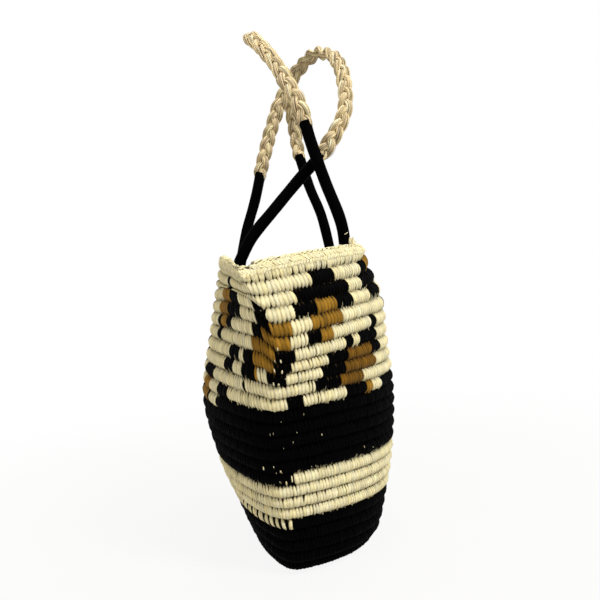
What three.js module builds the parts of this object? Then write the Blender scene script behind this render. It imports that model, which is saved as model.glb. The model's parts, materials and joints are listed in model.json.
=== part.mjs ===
import * as THREE from 'three';

// Woven tote bag: coiled basketry wound from the base to the mouth in one
// climbing spiral, with two plaited handles that cross over the mouth.
// Millimetres, +Z up, X along the mouth, -Y the front wall.

// Clearance between neighbouring pieces
const CLEAR = 0.3;

// Coiled wall
const COIL_PITCH = 11;         // one course up the wall
const WALL = 8.5;              // wall thickness over the crest of a course
const VALLEY = 2;              // how deep the wall dips between two courses
const FOOT_COURSES = 5;
const STRIPE_COURSES = 4;
const WAIST_COURSES = 6;
const LOWER_SPOT_COURSES = 5;
const UPPER_SPOT_COURSES = 4;
const RIM_COURSES = 2;
const END_TAPER = 0.25;        // share of a course left where the spiral starts and ends
const LAST_THIN = 0.45;        // share of a course by which the coil has thinned at the mouth
const COLUMNS = 32;            // facets round the oval

// Levels, counted in courses up from the ground
const STRIPE_FOOT = FOOT_COURSES;
const STRIPE_TOP = STRIPE_FOOT + STRIPE_COURSES;
const WAIST_TOP = STRIPE_TOP + WAIST_COURSES;
const SPOT_MIDDLE = WAIST_TOP + LOWER_SPOT_COURSES;
const RIM_FOOT = SPOT_MIDDLE + UPPER_SPOT_COURSES;
const MOUTH = RIM_FOOT + RIM_COURSES;
const HEEL = 2;
const BELLY = WAIST_TOP - 1;
const LEVELS = [0, HEEL, STRIPE_FOOT, STRIPE_TOP, BELLY, SPOT_MIDDLE, MOUTH];

// Half sizes of the oval at those levels, from the fold that closes each end
const NEAR_LENGTH = [74, 93, 101, 115, 128, 148, 155];
const FAR_LENGTH = [74, 97, 108, 121, 130, 147, 154];
const BACK_WIDTH = [26, 37, 46, 56, 65, 58, 17];
const FRONT_WIDTH = [60, 83, 96, 110, 116, 107, 123];
const FOLD_OFFSET = [0, 1, 4, 9, 10, 5, 31];

// Fold at each end: 0.5 is a plain ellipse, 1 a sharp lens
const FOLD_LEVELS = [0, (FOOT_COURSES + STRIPE_COURSES + WAIST_COURSES) * 0.87, MOUTH];
const NEAR_FOLD = [0.57, 0.66, 0.80];
const FAR_FOLD = 0.55;

// The mouth's edge: pulled up at the handles, sagging at the far end
const FRONT_LIFT = 7.8;
const BACK_LIFT = 0.8;
const NEAR_LIFT = 3.2;
const FAR_SAG = 12;
const LIFT_POWER = 6;          // how soon the pull dies out down the wall

// Base
const BASE_CREST = 9;          // height of the coils of the flat base inside the bag
const BASE_VALLEY = 7;

// Chained edge stitch on the last course
const CHAIN_WIDTH = 6;
const CHAIN_HEIGHT = 5;
const CHAIN_WAIST = 0.8;       // narrowing between two stitches of the chain

// Handles
const WRAP_RADIUS = 5.3;       // thread-bound leg
const WRAP_THICK = 1.4;
const STRAND_RADIUS = 2.25;     // one strand of the plait
const PLAIT_REACH = 4.45;      // how far a strand swings to each side
const PLAIT_RISE = 3.35;       // how far it passes over and under
const PLAIT_PERIOD = 40;       // length in which a strand crosses over and back
const BACK_SPREAD = 88;        // between the legs of the back handle
const NEST_GAP = 1.4;          // air between the nested handles
const FRONT_SPREAD = BACK_SPREAD + 2 * (2 * (PLAIT_REACH + STRAND_RADIUS) + NEST_GAP);
const HINGE_DROP = 8;          // from the last course line down to where a leg bends
const SEWN_LENGTH = 42;        // leg end sewn to the inside of the wall
const LASH_THICK = 1.2;
const LASH_WIDTH = 5;
const FACET_SAG = 0.6;         // how far the oval's facets stand in from its true curve

// Cut end of the raffia, tucked up beside the edge
const TUFT_RADIUS = 2.4;
const TUFT_LENGTH = 13;
const TUFT_REACH = 70;         // from the middle of the mouth, along the front edge

// A smooth line through a few sizes that never overshoots them
function profile(levels, sizes) {
  const last = levels.length - 1;
  const rise = sizes.slice(1).map((s, i) => (s - sizes[i]) / (levels[i + 1] - levels[i]));
  const slope = sizes.map((s, i) => {
    if (i === 0) return rise[0];
    if (i === last) return rise[last - 1];
    if (rise[i - 1] * rise[i] <= 0) return 0;
    const before = levels[i] - levels[i - 1], after = levels[i + 1] - levels[i];
    const w1 = 2 * after + before, w2 = after + 2 * before;
    return (w1 + w2) / (w1 / rise[i - 1] + w2 / rise[i]);
  });
  return (v) => {
    if (v <= levels[0]) return sizes[0] + slope[0] * (v - levels[0]);
    if (v >= levels[last]) return sizes[last] + slope[last] * (v - levels[last]);
    let i = 0;
    while (v > levels[i + 1]) i += 1;
    const h = levels[i + 1] - levels[i], t = (v - levels[i]) / h;
    return sizes[i] * (1 + 2 * t) * (1 - t) ** 2 + slope[i] * h * t * (1 - t) ** 2
      + sizes[i + 1] * t * t * (3 - 2 * t) + slope[i + 1] * h * t * t * (t - 1);
  };
}

const nearLength = profile(LEVELS, NEAR_LENGTH);
const farLength = profile(LEVELS, FAR_LENGTH);
const backWidth = profile(LEVELS, BACK_WIDTH);
const frontWidth = profile(LEVELS, FRONT_WIDTH);
const foldOffset = profile(LEVELS, FOLD_OFFSET);
const nearFold = profile(FOLD_LEVELS, NEAR_FOLD);

// Direction of an oval point from the axis, rounder at the sides than at the folds
function spoke(level, phi) {
  const c = Math.cos(phi), s = Math.sin(phi);
  const power = FAR_FOLD + (nearFold(level) - FAR_FOLD) * (1 - c) / 2;
  return [c, Math.sign(s) * Math.abs(s) ** (2 * power)];
}

function oval(level, phi) {
  const [ex, ey] = spoke(level, phi);
  return [
    ex * (ex < 0 ? nearLength(level) : farLength(level)),
    foldOffset(level) + ey * (ey > 0 ? backWidth(level) : frontWidth(level)),
  ];
}

// Every course takes one pitch of the wall's slope, so a wall that leans climbs less
const CLIMB_STEP = 0.25;
const climbs = new Map();
function height(level, phi) {
  const key = phi.toFixed(6);
  if (!climbs.has(key)) {
    const table = [0];
    let [x0, y0] = oval(0, phi);
    for (let n = 1; n * CLIMB_STEP <= MOUTH + 1; n += 1) {
      const [x1, y1] = oval(n * CLIMB_STEP, phi);
      const along = CLIMB_STEP * COIL_PITCH;
      const up = Math.sqrt(Math.max(along ** 2 - (x1 - x0) ** 2 - (y1 - y0) ** 2, (0.3 * along) ** 2));
      table.push(table[n - 1] + up);
      [x0, y0] = [x1, y1];
    }
    climbs.set(key, table);
  }
  const table = climbs.get(key);
  const n = Math.min(Math.max(level / CLIMB_STEP, 0), table.length - 1.001), i = Math.floor(n);
  const c = Math.cos(phi), s = Math.sin(phi);
  const lift = (s < 0 ? FRONT_LIFT : BACK_LIFT) * s * s + (c < 0 ? NEAR_LIFT : -FAR_SAG) * c * c;
  return table[i] + (n - i) * (table[i + 1] - table[i]) + lift * Math.max(level / MOUTH, 0) ** LIFT_POWER;
}

// A point of the wall, depth millimetres in from its outer crest, square to the slope
function wallPoint(level, phi, depth = 0) {
  const [x, y] = oval(level, phi);
  const [ex, ey] = spoke(level, phi);
  const [x0, y0] = oval(Math.max(level - 0.5, 0), phi);
  const [x1, y1] = oval(Math.max(level - 0.5, 0) + 1, phi);
  const lean = Math.min(Math.max(((x1 - x0) * ex + (y1 - y0) * ey) / (Math.hypot(ex, ey) * COIL_PITCH), -0.9), 0.9);
  const inward = depth * Math.sqrt(1 - lean * lean);
  return new THREE.Vector3(x - inward * ex, y - inward * ey, height(level, phi) + depth * lean);
}

// Angle of column i: the spiral climbs from the seam towards the back wall
const columnAngle = (i) => SEAM - 2 * Math.PI * i / COLUMNS;
const SEAM = Math.PI + 2 * Math.PI / COLUMNS;

// A closed geometry from points and triangles, turned to face outwards
function solid(points, triangles) {
  let volume = 0;
  const a = new THREE.Vector3();
  for (const [i, j, k] of triangles) volume += points[i].dot(a.crossVectors(points[j], points[k]));
  const index = triangles.flatMap(([i, j, k]) => (volume > 0 ? [i, j, k] : [i, k, j]));
  const geometry = new THREE.BufferGeometry();
  geometry.setAttribute('position', new THREE.Float32BufferAttribute(points.flatMap((p) => [p.x, p.y, p.z]), 3));
  geometry.setIndex(index);
  geometry.computeVertexNormals();
  return geometry;
}

// Rings of equal count joined in order, with a fan across each end
function loft(rings) {
  const sides = rings[0].length, points = rings.flat(), triangles = [];
  for (let r = 0; r + 1 < rings.length; r += 1) {
    for (let k = 0; k < sides; k += 1) {
      const a = r * sides + k, b = r * sides + (k + 1) % sides;
      triangles.push([a, b, b + sides], [a, b + sides, a + sides]);
    }
  }
  for (const r of [0, rings.length - 1]) {
    const middle = rings[r].reduce((sum, p) => sum.add(p), new THREE.Vector3()).divideScalar(sides);
    points.push(middle);
    for (let k = 0; k < sides; k += 1) {
      const a = r * sides + k, b = r * sides + (k + 1) % sides;
      triangles.push(r === 0 ? [points.length - 1, b, a] : [points.length - 1, a, b]);
    }
  }
  return solid(points, triangles);
}

// A ring of a profile turned round a path station: closed both ways
function band(station, profilePoints, segments) {
  const points = [], triangles = [], count = profilePoints.length;
  for (let s = 0; s < segments; s += 1) {
    const t = 2 * Math.PI * s / segments;
    for (const [radius, along] of profilePoints) {
      points.push(station.at.clone()
        .addScaledVector(station.side, radius * Math.cos(t))
        .addScaledVector(station.face, radius * Math.sin(t))
        .addScaledVector(station.ahead, along));
    }
  }
  for (let s = 0; s < segments; s += 1) {
    for (let k = 0; k < count; k += 1) {
      const a = s * count + k, b = s * count + (k + 1) % count;
      const c = ((s + 1) % segments) * count + k, d = ((s + 1) % segments) * count + (k + 1) % count;
      triangles.push([a, c, d], [a, d, b]);
    }
  }
  return solid(points, triangles);
}

// Level of the mouth's edge, u of a turn round from the seam
const mouthLevel = (u) => MOUTH - LAST_THIN + END_TAPER * u - CLEAR / COIL_PITCH;

// A band of the coiled wall from one course line to another, open at the seam
// by one course at each end, with the step where the spiral passes from it to
// the next band
function coilBand(foot, top) {
  const courses = top - foot, rows = 2 * courses;
  const first = foot === 0, last = top === MOUTH;
  const level = (j, u) => {
    const line = foot + j / 2 + u;
    const low = 1 - END_TAPER + END_TAPER * u, high = mouthLevel(u);
    const lastLine = Math.min(MOUTH - 1 + u, high - END_TAPER);
    if (first && j === 0) return low;
    if (first && j === 1) return (low + foot + 1 + u) / 2;
    if (last && j === rows) return high;
    if (last && j === rows - 1) return (lastLine + high) / 2;
    if (last && j === rows - 2) return lastLine;
    if (last && j === rows - 3) return (MOUTH - 2 + u + lastLine) / 2;
    return j === rows ? line - CLEAR / COIL_PITCH : line;
  };
  const points = [], triangles = [];
  const outer = [], inner = [];
  for (let i = 0; i <= COLUMNS; i += 1) {
    outer.push([]);
    inner.push([]);
    const u = i / COLUMNS, phi = columnAngle(i);
    for (let j = 0; j <= rows; j += 1) {
      if (i === COLUMNS && j <= rows - 2) {
        outer[i].push(outer[0][j + 2]);
        if (j % 2 === 0) inner[i].push(inner[0][j / 2 + 1]);
        continue;
      }
      // the last step stops short of the next band's first one
      const [x0, y0] = oval(level(j, u), phi), [x1, y1] = oval(level(j, u), phi - 0.01);
      const back = i === COLUMNS ? 0.01 * 4 * CLEAR / Math.hypot(x1 - x0, y1 - y0) : 0;
      outer[i].push(points.push(wallPoint(level(j, u), phi + back, j % 2 ? 0 : VALLEY)) - 1);
      if (j % 2 === 0) inner[i].push(points.push(wallPoint(level(j, u), phi + back, WALL)) - 1);
    }
  }
  const quad = (a, b, c, d) => triangles.push([a, b, c], [a, c, d]);
  for (let i = 0; i < COLUMNS; i += 1) {
    const o = outer[i], p = outer[i + 1], n = inner[i], m = inner[i + 1];
    for (let j = 0; j < rows; j += 1) quad(o[j], o[j + 1], p[j + 1], p[j]);
    for (let k = 0; k < courses; k += 1) quad(n[k], m[k], m[k + 1], n[k + 1]);
    quad(o[rows], n[courses], m[courses], p[rows]);
    quad(o[0], p[0], m[0], n[0]);
  }
  const face = (o, n, turn) => {
    const fan = [[n[0], o[0], o[1]], [n[0], o[1], o[2]], [n[0], o[2], n[1]]];
    triangles.push(...fan.map(([a, b, c]) => (turn ? [a, c, b] : [a, b, c])));
  };
  face(outer[COLUMNS].slice(rows - 2), inner[COLUMNS].slice(courses - 1), false);
  face(outer[0].slice(0, 3), inner[0].slice(0, 2), true);
  return solid(points, triangles);
}

// The oval base: its outermost coil carries the wall, and the coils inside it
// close on a straight spine
function baseGeometry() {
  const rings = [];
  const around = (make) => rings.push(Array.from({ length: COLUMNS }, (_, i) => make(columnAngle(i), i / COLUMNS)));
  const seat = (u) => 1 - END_TAPER + END_TAPER * u - CLEAR / COIL_PITCH;
  const flat = (share, z) => around((phi) => {
    const [ex, ey] = spoke(0, phi);
    const narrow = Math.min(BACK_WIDTH[0], FRONT_WIDTH[0]) * share;
    const length = (ex < 0 ? NEAR_LENGTH[0] : FAR_LENGTH[0]) - narrow;
    return new THREE.Vector3(ex * length, FOLD_OFFSET[0] + ey * (ey > 0 ? BACK_WIDTH[0] : FRONT_WIDTH[0]) * (1 - share), z);
  });
  const width = Math.min(BACK_WIDTH[0], FRONT_WIDTH[0]);
  const turns = Math.max(1, Math.round((width - WALL) / COIL_PITCH));
  flat(3 / width, 0);
  around((phi) => wallPoint(0.2, phi, 0.8));
  around((phi) => wallPoint(0.5, phi, 0));
  around((phi, u) => wallPoint(seat(u), phi, VALLEY));
  around((phi, u) => wallPoint(seat(u), phi, WALL));
  const inset = (WALL + 2) / width;
  for (let k = 0; k <= 2 * turns; k += 1) {
    flat(inset + (0.9 - inset) * k / (2 * turns), k % 2 ? BASE_CREST : BASE_VALLEY);
  }
  return loft(rings);
}

// Two rows of chain stitch along the mouth, wide and narrow by turns
function chainGeometry() {
  const rings = [];
  const count = 2 * COLUMNS;
  const edge = (i, depth) => {
    return wallPoint(mouthLevel(i / COLUMNS), columnAngle(i), depth);
  };
  const between = (n, depth) => {
    const i = Math.floor(n / 2);
    return n % 2 ? edge(i, depth).lerp(edge(i + 1, depth), 0.5) : edge(i, depth);
  };
  for (let n = 0; n <= count; n += 1) {
    const outside = between(n, VALLEY), inside = between(n, WALL);
    const at = outside.clone().lerp(inside, 0.4);
    const ahead = between(Math.min(n + 1, count), WALL / 2).sub(between(Math.max(n - 1, 0), WALL / 2)).normalize();
    if (n === 0 || n === count) at.addScaledVector(ahead, (n ? -3 : 4) * CLEAR);
    const out = outside.sub(inside).normalize();
    const up = out.clone().cross(ahead).normalize();
    if (up.z < 0) up.negate();
    const share = n % 2 ? 1 : CHAIN_WAIST;
    const w = CHAIN_WIDTH / 2 * share, h = CHAIN_HEIGHT * share;
    rings.push([[-0.7 * w, 0], [-w, 0.45 * h], [-0.55 * w, h], [0.55 * w, h], [w, 0.45 * h], [0.7 * w, 0]]
      .map(([a, b]) => at.clone().addScaledVector(out, a).addScaledVector(up, b + 2.4 * CLEAR)));
  }
  return loft(rings);
}

// A short stub that leans along the edge and sits on the chain
function tuftGeometry() {
  let phi = Math.PI + 0.2;
  while (Math.abs(wallPoint(MOUTH, phi, WALL / 2).x) > TUFT_REACH) phi += 0.005;
  const level = mouthLevel((SEAM + 2 * Math.PI - phi) / (2 * Math.PI));
  const seat = (turn) => wallPoint(level, phi + turn, VALLEY).lerp(wallPoint(level, phi + turn, WALL), 0.4);
  const foot = seat(0);
  const ahead = seat(0.02).sub(seat(-0.02)).normalize();
  foot.z += CHAIN_HEIGHT + 0.2 * CLEAR + TUFT_RADIUS;
  const stub = [[0, 0], [0.35, 0.5], [0.7, 2], [1, 4.5]].map(([along, up]) =>
    foot.clone().addScaledVector(ahead, along * TUFT_LENGTH).add(new THREE.Vector3(0, 0, up)));
  const line = new THREE.CatmullRomCurve3(stub);
  const path = stations(line, 0, 1, 3, new THREE.Vector3(0, 0, 1));
  return loft(path.map((s, n) => circle(s, TUFT_RADIUS * (n === 0 ? 0.6 : 1), 6)));
}

// Path stations with a side vector that stays in the arch's own cross direction
function stations(curve, from, to, count, cross) {
  return Array.from({ length: count + 1 }, (_, n) => {
    const t = from + (to - from) * n / count;
    const at = curve.getPointAt(t), ahead = curve.getTangentAt(t);
    const side = cross.clone().addScaledVector(ahead, -cross.dot(ahead)).normalize();
    return { t, at, ahead, side, face: new THREE.Vector3().crossVectors(ahead, side) };
  });
}

function circle(station, radius, sides, along = 0) {
  return Array.from({ length: sides }, (_, k) => {
    const a = 2 * Math.PI * k / sides;
    return station.at.clone()
      .addScaledVector(station.side, radius * Math.cos(a))
      .addScaledVector(station.face, radius * Math.sin(a))
      .addScaledVector(station.ahead, along);
  });
}

// Level direction into the bag, square to the wall's inner face
function inwardNormal(level, phi) {
  const step = 0.02;
  const round = wallPoint(level, phi + step, WALL).sub(wallPoint(level, phi - step, WALL));
  const up = wallPoint(level + 0.3, phi, WALL).sub(wallPoint(level - 0.3, phi, WALL));
  const normal = round.cross(up).normalize();
  return normal.y * Math.sin(phi) > 0 ? normal.negate() : normal;
}

// Where a leg lies against the inside of the wall, down millimetres below the
// edge and half the legs' spread from the middle
const STANDOFF = LASH_THICK + 2.6 * CLEAR + FACET_SAG + WRAP_RADIUS;
function legPoint(side, end, spread, down) {
  const level = MOUTH - down / COIL_PITCH;
  const place = (turn) => {
    const phi = side * (end < 0 ? Math.PI - turn : turn);
    return wallPoint(level, phi, WALL).addScaledVector(inwardNormal(level, phi), STANDOFF);
  };
  let low = 0.3, high = Math.PI / 2;
  for (let n = 0; n < 40; n += 1) {
    const middle = (low + high) / 2;
    if (Math.abs(place(middle).x) > spread / 2) low = middle;
    else high = middle;
  }
  return place((low + high) / 2);
}

// Routes of the handles as they lie: share of the half spread along the mouth,
// distance in from the own wall towards the other, height above the bend
const BACK_ROUTE = [
  [-1, 0, 0], [-1, 14, 24], [-1, 37, 49], [-1, 61, 74], [-0.98, 84, 97], [-0.88, 105, 129],
  [-0.7, 109, 154], [-0.4, 108, 178], [0, 102, 196], [0.4, 89, 202], [0.76, 74, 194],
  [0.94, 56, 170], [0.99, 42, 138], [1, 31, 105], [1, 21, 70], [1, 9, 36], [1, 0, 0],
];
const FRONT_ROUTE = [
  [-1, 0, 0], [-1, 2, 30], [-1, 14, 69], [-1, 24, 104], [-0.99, 30, 130], [-0.92, 36, 147],
  [-0.72, 48, 175], [-0.4, 61, 200], [0, 69, 216], [0.4, 62, 219], [0.75, 46, 206],
  [0.97, 35, 178], [1.05, 31, 151], [1.05, 28, 119], [1.03, 19, 81], [1.01, 9, 51], [1, 0, 0],
];
const BACK_BOUND = [125, 100];    // length bound in thread, near and far leg
const FRONT_BOUND = [125, 119];

const STRAW = { color: 0xc9a262, roughness: 0.85, metalness: 0 };
const BLACK = { color: 0x0b0a0a, roughness: 0.8, metalness: 0 };
const CREAM = { color: 0xf0e6c4, roughness: 0.9, metalness: 0 };
const SPOTTED = { color: 0xd8c48e, roughness: 0.9, metalness: 0 };

function piece(name, geometry, look, parent) {
  const mesh = new THREE.Mesh(geometry, new THREE.MeshStandardMaterial(look));
  mesh.name = name;
  parent.add(mesh);
}

const tote = new THREE.Group();

piece('base_coil', baseGeometry(), BLACK, tote);
piece('foot_band', coilBand(0, STRIPE_FOOT), BLACK, tote);
piece('stripe_band', coilBand(STRIPE_FOOT, STRIPE_TOP), CREAM, tote);
piece('waist_band', coilBand(STRIPE_TOP, WAIST_TOP), BLACK, tote);
piece('lower_spotted_band', coilBand(WAIST_TOP, SPOT_MIDDLE), SPOTTED, tote);
piece('upper_spotted_band', coilBand(SPOT_MIDDLE, RIM_FOOT), SPOTTED, tote);
piece('rim_band', coilBand(RIM_FOOT, MOUTH), CREAM, tote);
piece('rim_chain', chainGeometry(), CREAM, tote);
piece('rim_tuft', tuftGeometry(), CREAM, tote);

const LEG_SIDES = 8;
const LEG_STEPS = 7;
const STRAND_SIDES = 5;
const STRAND_STEPS = 12;        // per period

function handle(name, side, spread, route, bound) {
  const near = legPoint(side, -1, spread, HINGE_DROP), far = legPoint(side, 1, spread, HINGE_DROP);
  const group = new THREE.Group();
  group.position.copy(near);
  tote.add(group);

  const bend = (share) => near.clone().lerp(far, (share + 1) / 2);
  const curve = new THREE.CatmullRomCurve3(route.map(([share, across, up]) =>
    bend(share).add(new THREE.Vector3(0, -side * across, up)).sub(near)), false, 'centripetal');
  curve.arcLengthDivisions = 600;
  const length = curve.getLength();
  const wrap = bound.map((run) => run / length);
  const top = curve.getPointAt(0.5);
  const cross = new THREE.Vector3().crossVectors(top, far.clone().sub(near)).normalize();

  const wraps = [[0, wrap[0]], [1, 1 - wrap[1]]];
  for (const [end, [from, to]] of wraps.entries()) {
    const place = end ? 'far' : 'near';
    const leg = stations(curve, from, to, LEG_STEPS, cross);
    const outwards = end ? -1 : 1;      // the far leg is walked backwards
    const bore = WRAP_RADIUS - WRAP_THICK;
    const dome = [72, 38].map((degrees) => {
      const a = degrees * Math.PI / 180;
      return circle(leg[0], WRAP_RADIUS * Math.cos(a), LEG_SIDES, -outwards * WRAP_RADIUS * Math.sin(a));
    });
    piece(`${name}_${place}_wrap`, loft([
      ...dome,
      ...leg.map((s) => circle(s, WRAP_RADIUS, LEG_SIDES)),
      ...leg.slice().reverse().map((s) => circle(s, bore, LEG_SIDES)),
    ]), BLACK, group);
    piece(`${name}_${place}_core`, loft(leg.map((s, n) =>
      circle(s, bore - CLEAR, LEG_SIDES, n === 0 ? outwards * CLEAR : 0))), STRAW, group);
  }

  const air = CLEAR / length;
  const start = wrap[0] + air, finish = 1 - wrap[1] - air;
  const periods = Math.round((finish - start) * length / PLAIT_PERIOD);
  const count = periods * STRAND_STEPS;
  const path = stations(curve, start, finish, count, cross);
  for (let strand = 0; strand < 3; strand += 1) {
    const middle = path.map((s, n) => {
      const turn = 2 * Math.PI * (n / STRAND_STEPS + strand / 3);
      return s.at.clone()
        .addScaledVector(s.side, PLAIT_REACH * Math.cos(turn))
        .addScaledVector(s.face, PLAIT_RISE * Math.sin(2 * turn));
    });
    piece(`${name}_plait_strand_${strand + 1}`, loft(middle.map((at, n) => {
      const ahead = n === 0 || n === count ? path[n].ahead.clone()
        : middle[n + 1].clone().sub(middle[n - 1]).normalize();
      const across = path[n].side.clone().addScaledVector(ahead, -path[n].side.dot(ahead)).normalize();
      return circle({ at, ahead, side: across, face: new THREE.Vector3().crossVectors(ahead, across) },
        STRAND_RADIUS, STRAND_SIDES);
    })), STRAW, group);
  }

  // Leg ends sewn down inside the wall, each held by two lashings
  for (const end of [-1, 1]) {
    const place = end < 0 ? 'near' : 'far';
    const stretch = legPoint(side, end, spread, HINGE_DROP + WRAP_RADIUS).distanceTo(end < 0 ? near : far) / WRAP_RADIUS;
    const from = HINGE_DROP + (WRAP_RADIUS + CLEAR) / stretch, steps = 3;
    const line = new THREE.CatmullRomCurve3(Array.from({ length: steps + 1 }, (_, n) =>
      legPoint(side, end, spread, from + SEWN_LENGTH * n / steps)));
    const along = stations(line, 0, 1, steps, new THREE.Vector3(1, 0, 0));
    piece(`${name}_${place}_sewn_end`, loft([
      ...along.map((s) => circle(s, WRAP_RADIUS, LEG_SIDES)),
      circle(along[steps], 0.6 * WRAP_RADIUS, LEG_SIDES, 0.5 * WRAP_RADIUS),
    ]), BLACK, tote);
    const inside = WRAP_RADIUS + 1.6 * CLEAR, outside = inside + LASH_THICK, half = LASH_WIDTH / 2;
    for (const [n, share] of [0.2, 0.75].entries()) {
      const [at] = stations(line, share, share, 1, new THREE.Vector3(1, 0, 0));
      piece(`${name}_${place}_lashing_${n + 1}`, band(at,
        [[inside, -half], [outside, -half], [outside, half], [inside, half]], LEG_SIDES), BLACK, tote);
    }
  }
  group.userData.hinge = { near: near.toArray(), far: far.toArray(), length, periods };
}

handle('back', 1, BACK_SPREAD, BACK_ROUTE, BACK_BOUND);
handle('front', -1, FRONT_SPREAD, FRONT_ROUTE, FRONT_BOUND);

// Origin on the ground below the middle of the bag
const extent = new THREE.Box3().setFromObject(tote);
const middle = extent.getCenter(new THREE.Vector3());
tote.position.set(-middle.x, -middle.y, -extent.min.z);

export default tote;
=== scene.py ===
# %% [markdown]
# # A tote in coiled raffia
# The real bag is one long fibre core, wound upwards in a spiral from the base
# to the mouth. Thousands of raffia stitches wrap the core and bite into the
# course below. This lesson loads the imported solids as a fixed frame, lays the
# stitches over them, plaits the handles and gives every fibre its finish.

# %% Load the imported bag
import json
import math

import bpy
import numpy as np
from mathutils import Matrix, Vector


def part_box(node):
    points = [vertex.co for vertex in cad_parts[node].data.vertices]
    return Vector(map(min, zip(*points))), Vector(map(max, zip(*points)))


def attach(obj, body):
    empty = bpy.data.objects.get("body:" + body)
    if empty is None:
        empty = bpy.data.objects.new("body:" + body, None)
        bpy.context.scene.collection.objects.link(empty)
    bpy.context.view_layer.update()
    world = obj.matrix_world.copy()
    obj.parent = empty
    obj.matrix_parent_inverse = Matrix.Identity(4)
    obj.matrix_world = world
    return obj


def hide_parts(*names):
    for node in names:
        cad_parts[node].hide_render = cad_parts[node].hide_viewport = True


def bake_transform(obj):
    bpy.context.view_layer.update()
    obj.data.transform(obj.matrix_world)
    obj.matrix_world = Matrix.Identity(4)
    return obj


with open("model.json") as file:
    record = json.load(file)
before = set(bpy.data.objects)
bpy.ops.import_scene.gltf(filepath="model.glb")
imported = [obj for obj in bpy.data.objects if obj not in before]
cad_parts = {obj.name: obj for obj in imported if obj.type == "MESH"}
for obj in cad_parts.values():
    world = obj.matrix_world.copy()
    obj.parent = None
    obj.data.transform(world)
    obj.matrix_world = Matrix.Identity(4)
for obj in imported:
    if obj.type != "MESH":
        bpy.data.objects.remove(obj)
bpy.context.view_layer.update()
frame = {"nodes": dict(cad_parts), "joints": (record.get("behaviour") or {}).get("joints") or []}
nodes = frame["nodes"]
bpy.ops.object.select_all(action="DESELECT")

# %% [markdown]
# ## The camera
# The photograph looks at one narrow end of the bag from a little over half a
# metre, almost level with the mouth. The lens follows from how fast the bag
# shrinks with distance, so the camera is set by its place and three angles.

# %% Place the camera
MM = 0.001
CAMERA_AT = Vector((-639.59, 31.32, 257.76)) * MM
YAW, PITCH, ROLL = -0.061, 0.047, -0.073
LENS = 36 * 667.16 / 600

ahead = Vector((math.cos(YAW) * math.cos(PITCH), math.sin(YAW) * math.cos(PITCH), -math.sin(PITCH)))
right = Vector((math.sin(YAW), -math.cos(YAW), 0))
up = right.cross(ahead)
turned = math.cos(ROLL) * right + math.sin(ROLL) * up
upright = -math.sin(ROLL) * right + math.cos(ROLL) * up
bpy.ops.object.camera_add()
camera = bpy.context.object
camera.name = "camera"
camera.matrix_world = Matrix.Translation(CAMERA_AT) @ Matrix((turned, upright, -ahead)).transposed().to_4x4()
camera.data.sensor_width, camera.data.lens = 36, LENS
camera.data.clip_start, camera.data.clip_end = 0.01, 50
bpy.context.scene.camera = camera
print("camera at", [round(v, 3) for v in camera.location], "lens", round(LENS, 2))

# %% [markdown]
# ## The wall that carries the stitches
# The wall is an oval that swells, leans and folds as it climbs. Its sizes are
# the ones of the solids. A smooth line runs through each list of sizes, and a
# point of the wall is found from three numbers: the level in courses, the
# angle round the oval, and the depth in from the crest of the course.

# %% Sizes of the wall
PITCH_MM, WALL, VALLEY = 11, 8.5, 2
STRIPE_FOOT, STRIPE_TOP, WAIST_TOP, SPOT_MIDDLE, RIM_FOOT, MOUTH = 5, 9, 15, 20, 24, 26
END_TAPER, LAST_THIN, CLEAR = 0.25, 0.45, 0.3
LEVELS = [0, 2, 5, 9, 14, 20, 26]
NEAR_LENGTH = [74, 93, 101, 115, 128, 148, 155]
FAR_LENGTH = [74, 97, 108, 121, 130, 147, 154]
BACK_WIDTH = [26, 37, 46, 56, 65, 58, 17]
FRONT_WIDTH = [60, 83, 96, 110, 116, 107, 123]
FOLD_OFFSET = [0, 1, 4, 9, 10, 5, 31]
FOLD_LEVELS, NEAR_FOLD, FAR_FOLD = [0, 13.05, 26], [0.57, 0.66, 0.80], 0.55
FRONT_LIFT, BACK_LIFT, NEAR_LIFT, FAR_SAG, LIFT_POWER = 7.8, 0.8, 3.2, 12, 6
SEAM = math.pi + math.pi / 16
SHIFT = np.array([0.3675, 15.5038, 0])
print("wall of", MOUTH, "courses,", PITCH_MM, "mm each")


# %% A smooth line through a few sizes
def profile(levels, sizes):
    levels, sizes = np.array(levels, float), np.array(sizes, float)
    rise = np.diff(sizes) / np.diff(levels)
    slope = np.concatenate([rise[:1], np.zeros(len(sizes) - 2), rise[-1:]])
    for i in range(1, len(sizes) - 1):
        if rise[i - 1] * rise[i] > 0:
            before, after = levels[i] - levels[i - 1], levels[i + 1] - levels[i]
            w1, w2 = 2 * after + before, after + 2 * before
            slope[i] = (w1 + w2) / (w1 / rise[i - 1] + w2 / rise[i])

    def line(v):
        v = np.asarray(v, float)
        i = np.clip(np.searchsorted(levels, v, side="right") - 1, 0, len(levels) - 2)
        h = levels[i + 1] - levels[i]
        t = (v - levels[i]) / h
        inside = (sizes[i] * (1 + 2 * t) * (1 - t) ** 2 + slope[i] * h * t * (1 - t) ** 2
                  + sizes[i + 1] * t * t * (3 - 2 * t) + slope[i + 1] * h * t * t * (t - 1))
        below, above = sizes[0] + slope[0] * (v - levels[0]), sizes[-1] + slope[-1] * (v - levels[-1])
        return np.where(v < levels[0], below, np.where(v > levels[-1], above, inside))

    return line


near_length, far_length = profile(LEVELS, NEAR_LENGTH), profile(LEVELS, FAR_LENGTH)
back_width, front_width = profile(LEVELS, BACK_WIDTH), profile(LEVELS, FRONT_WIDTH)
fold_offset, near_fold = profile(LEVELS, FOLD_OFFSET), profile(FOLD_LEVELS, NEAR_FOLD)
print("half length at the belly:", round(float(near_length(14))), "mm")


# %% Lengths and directions
def unit(v):
    return v / np.linalg.norm(v, axis=-1, keepdims=True)


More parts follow.
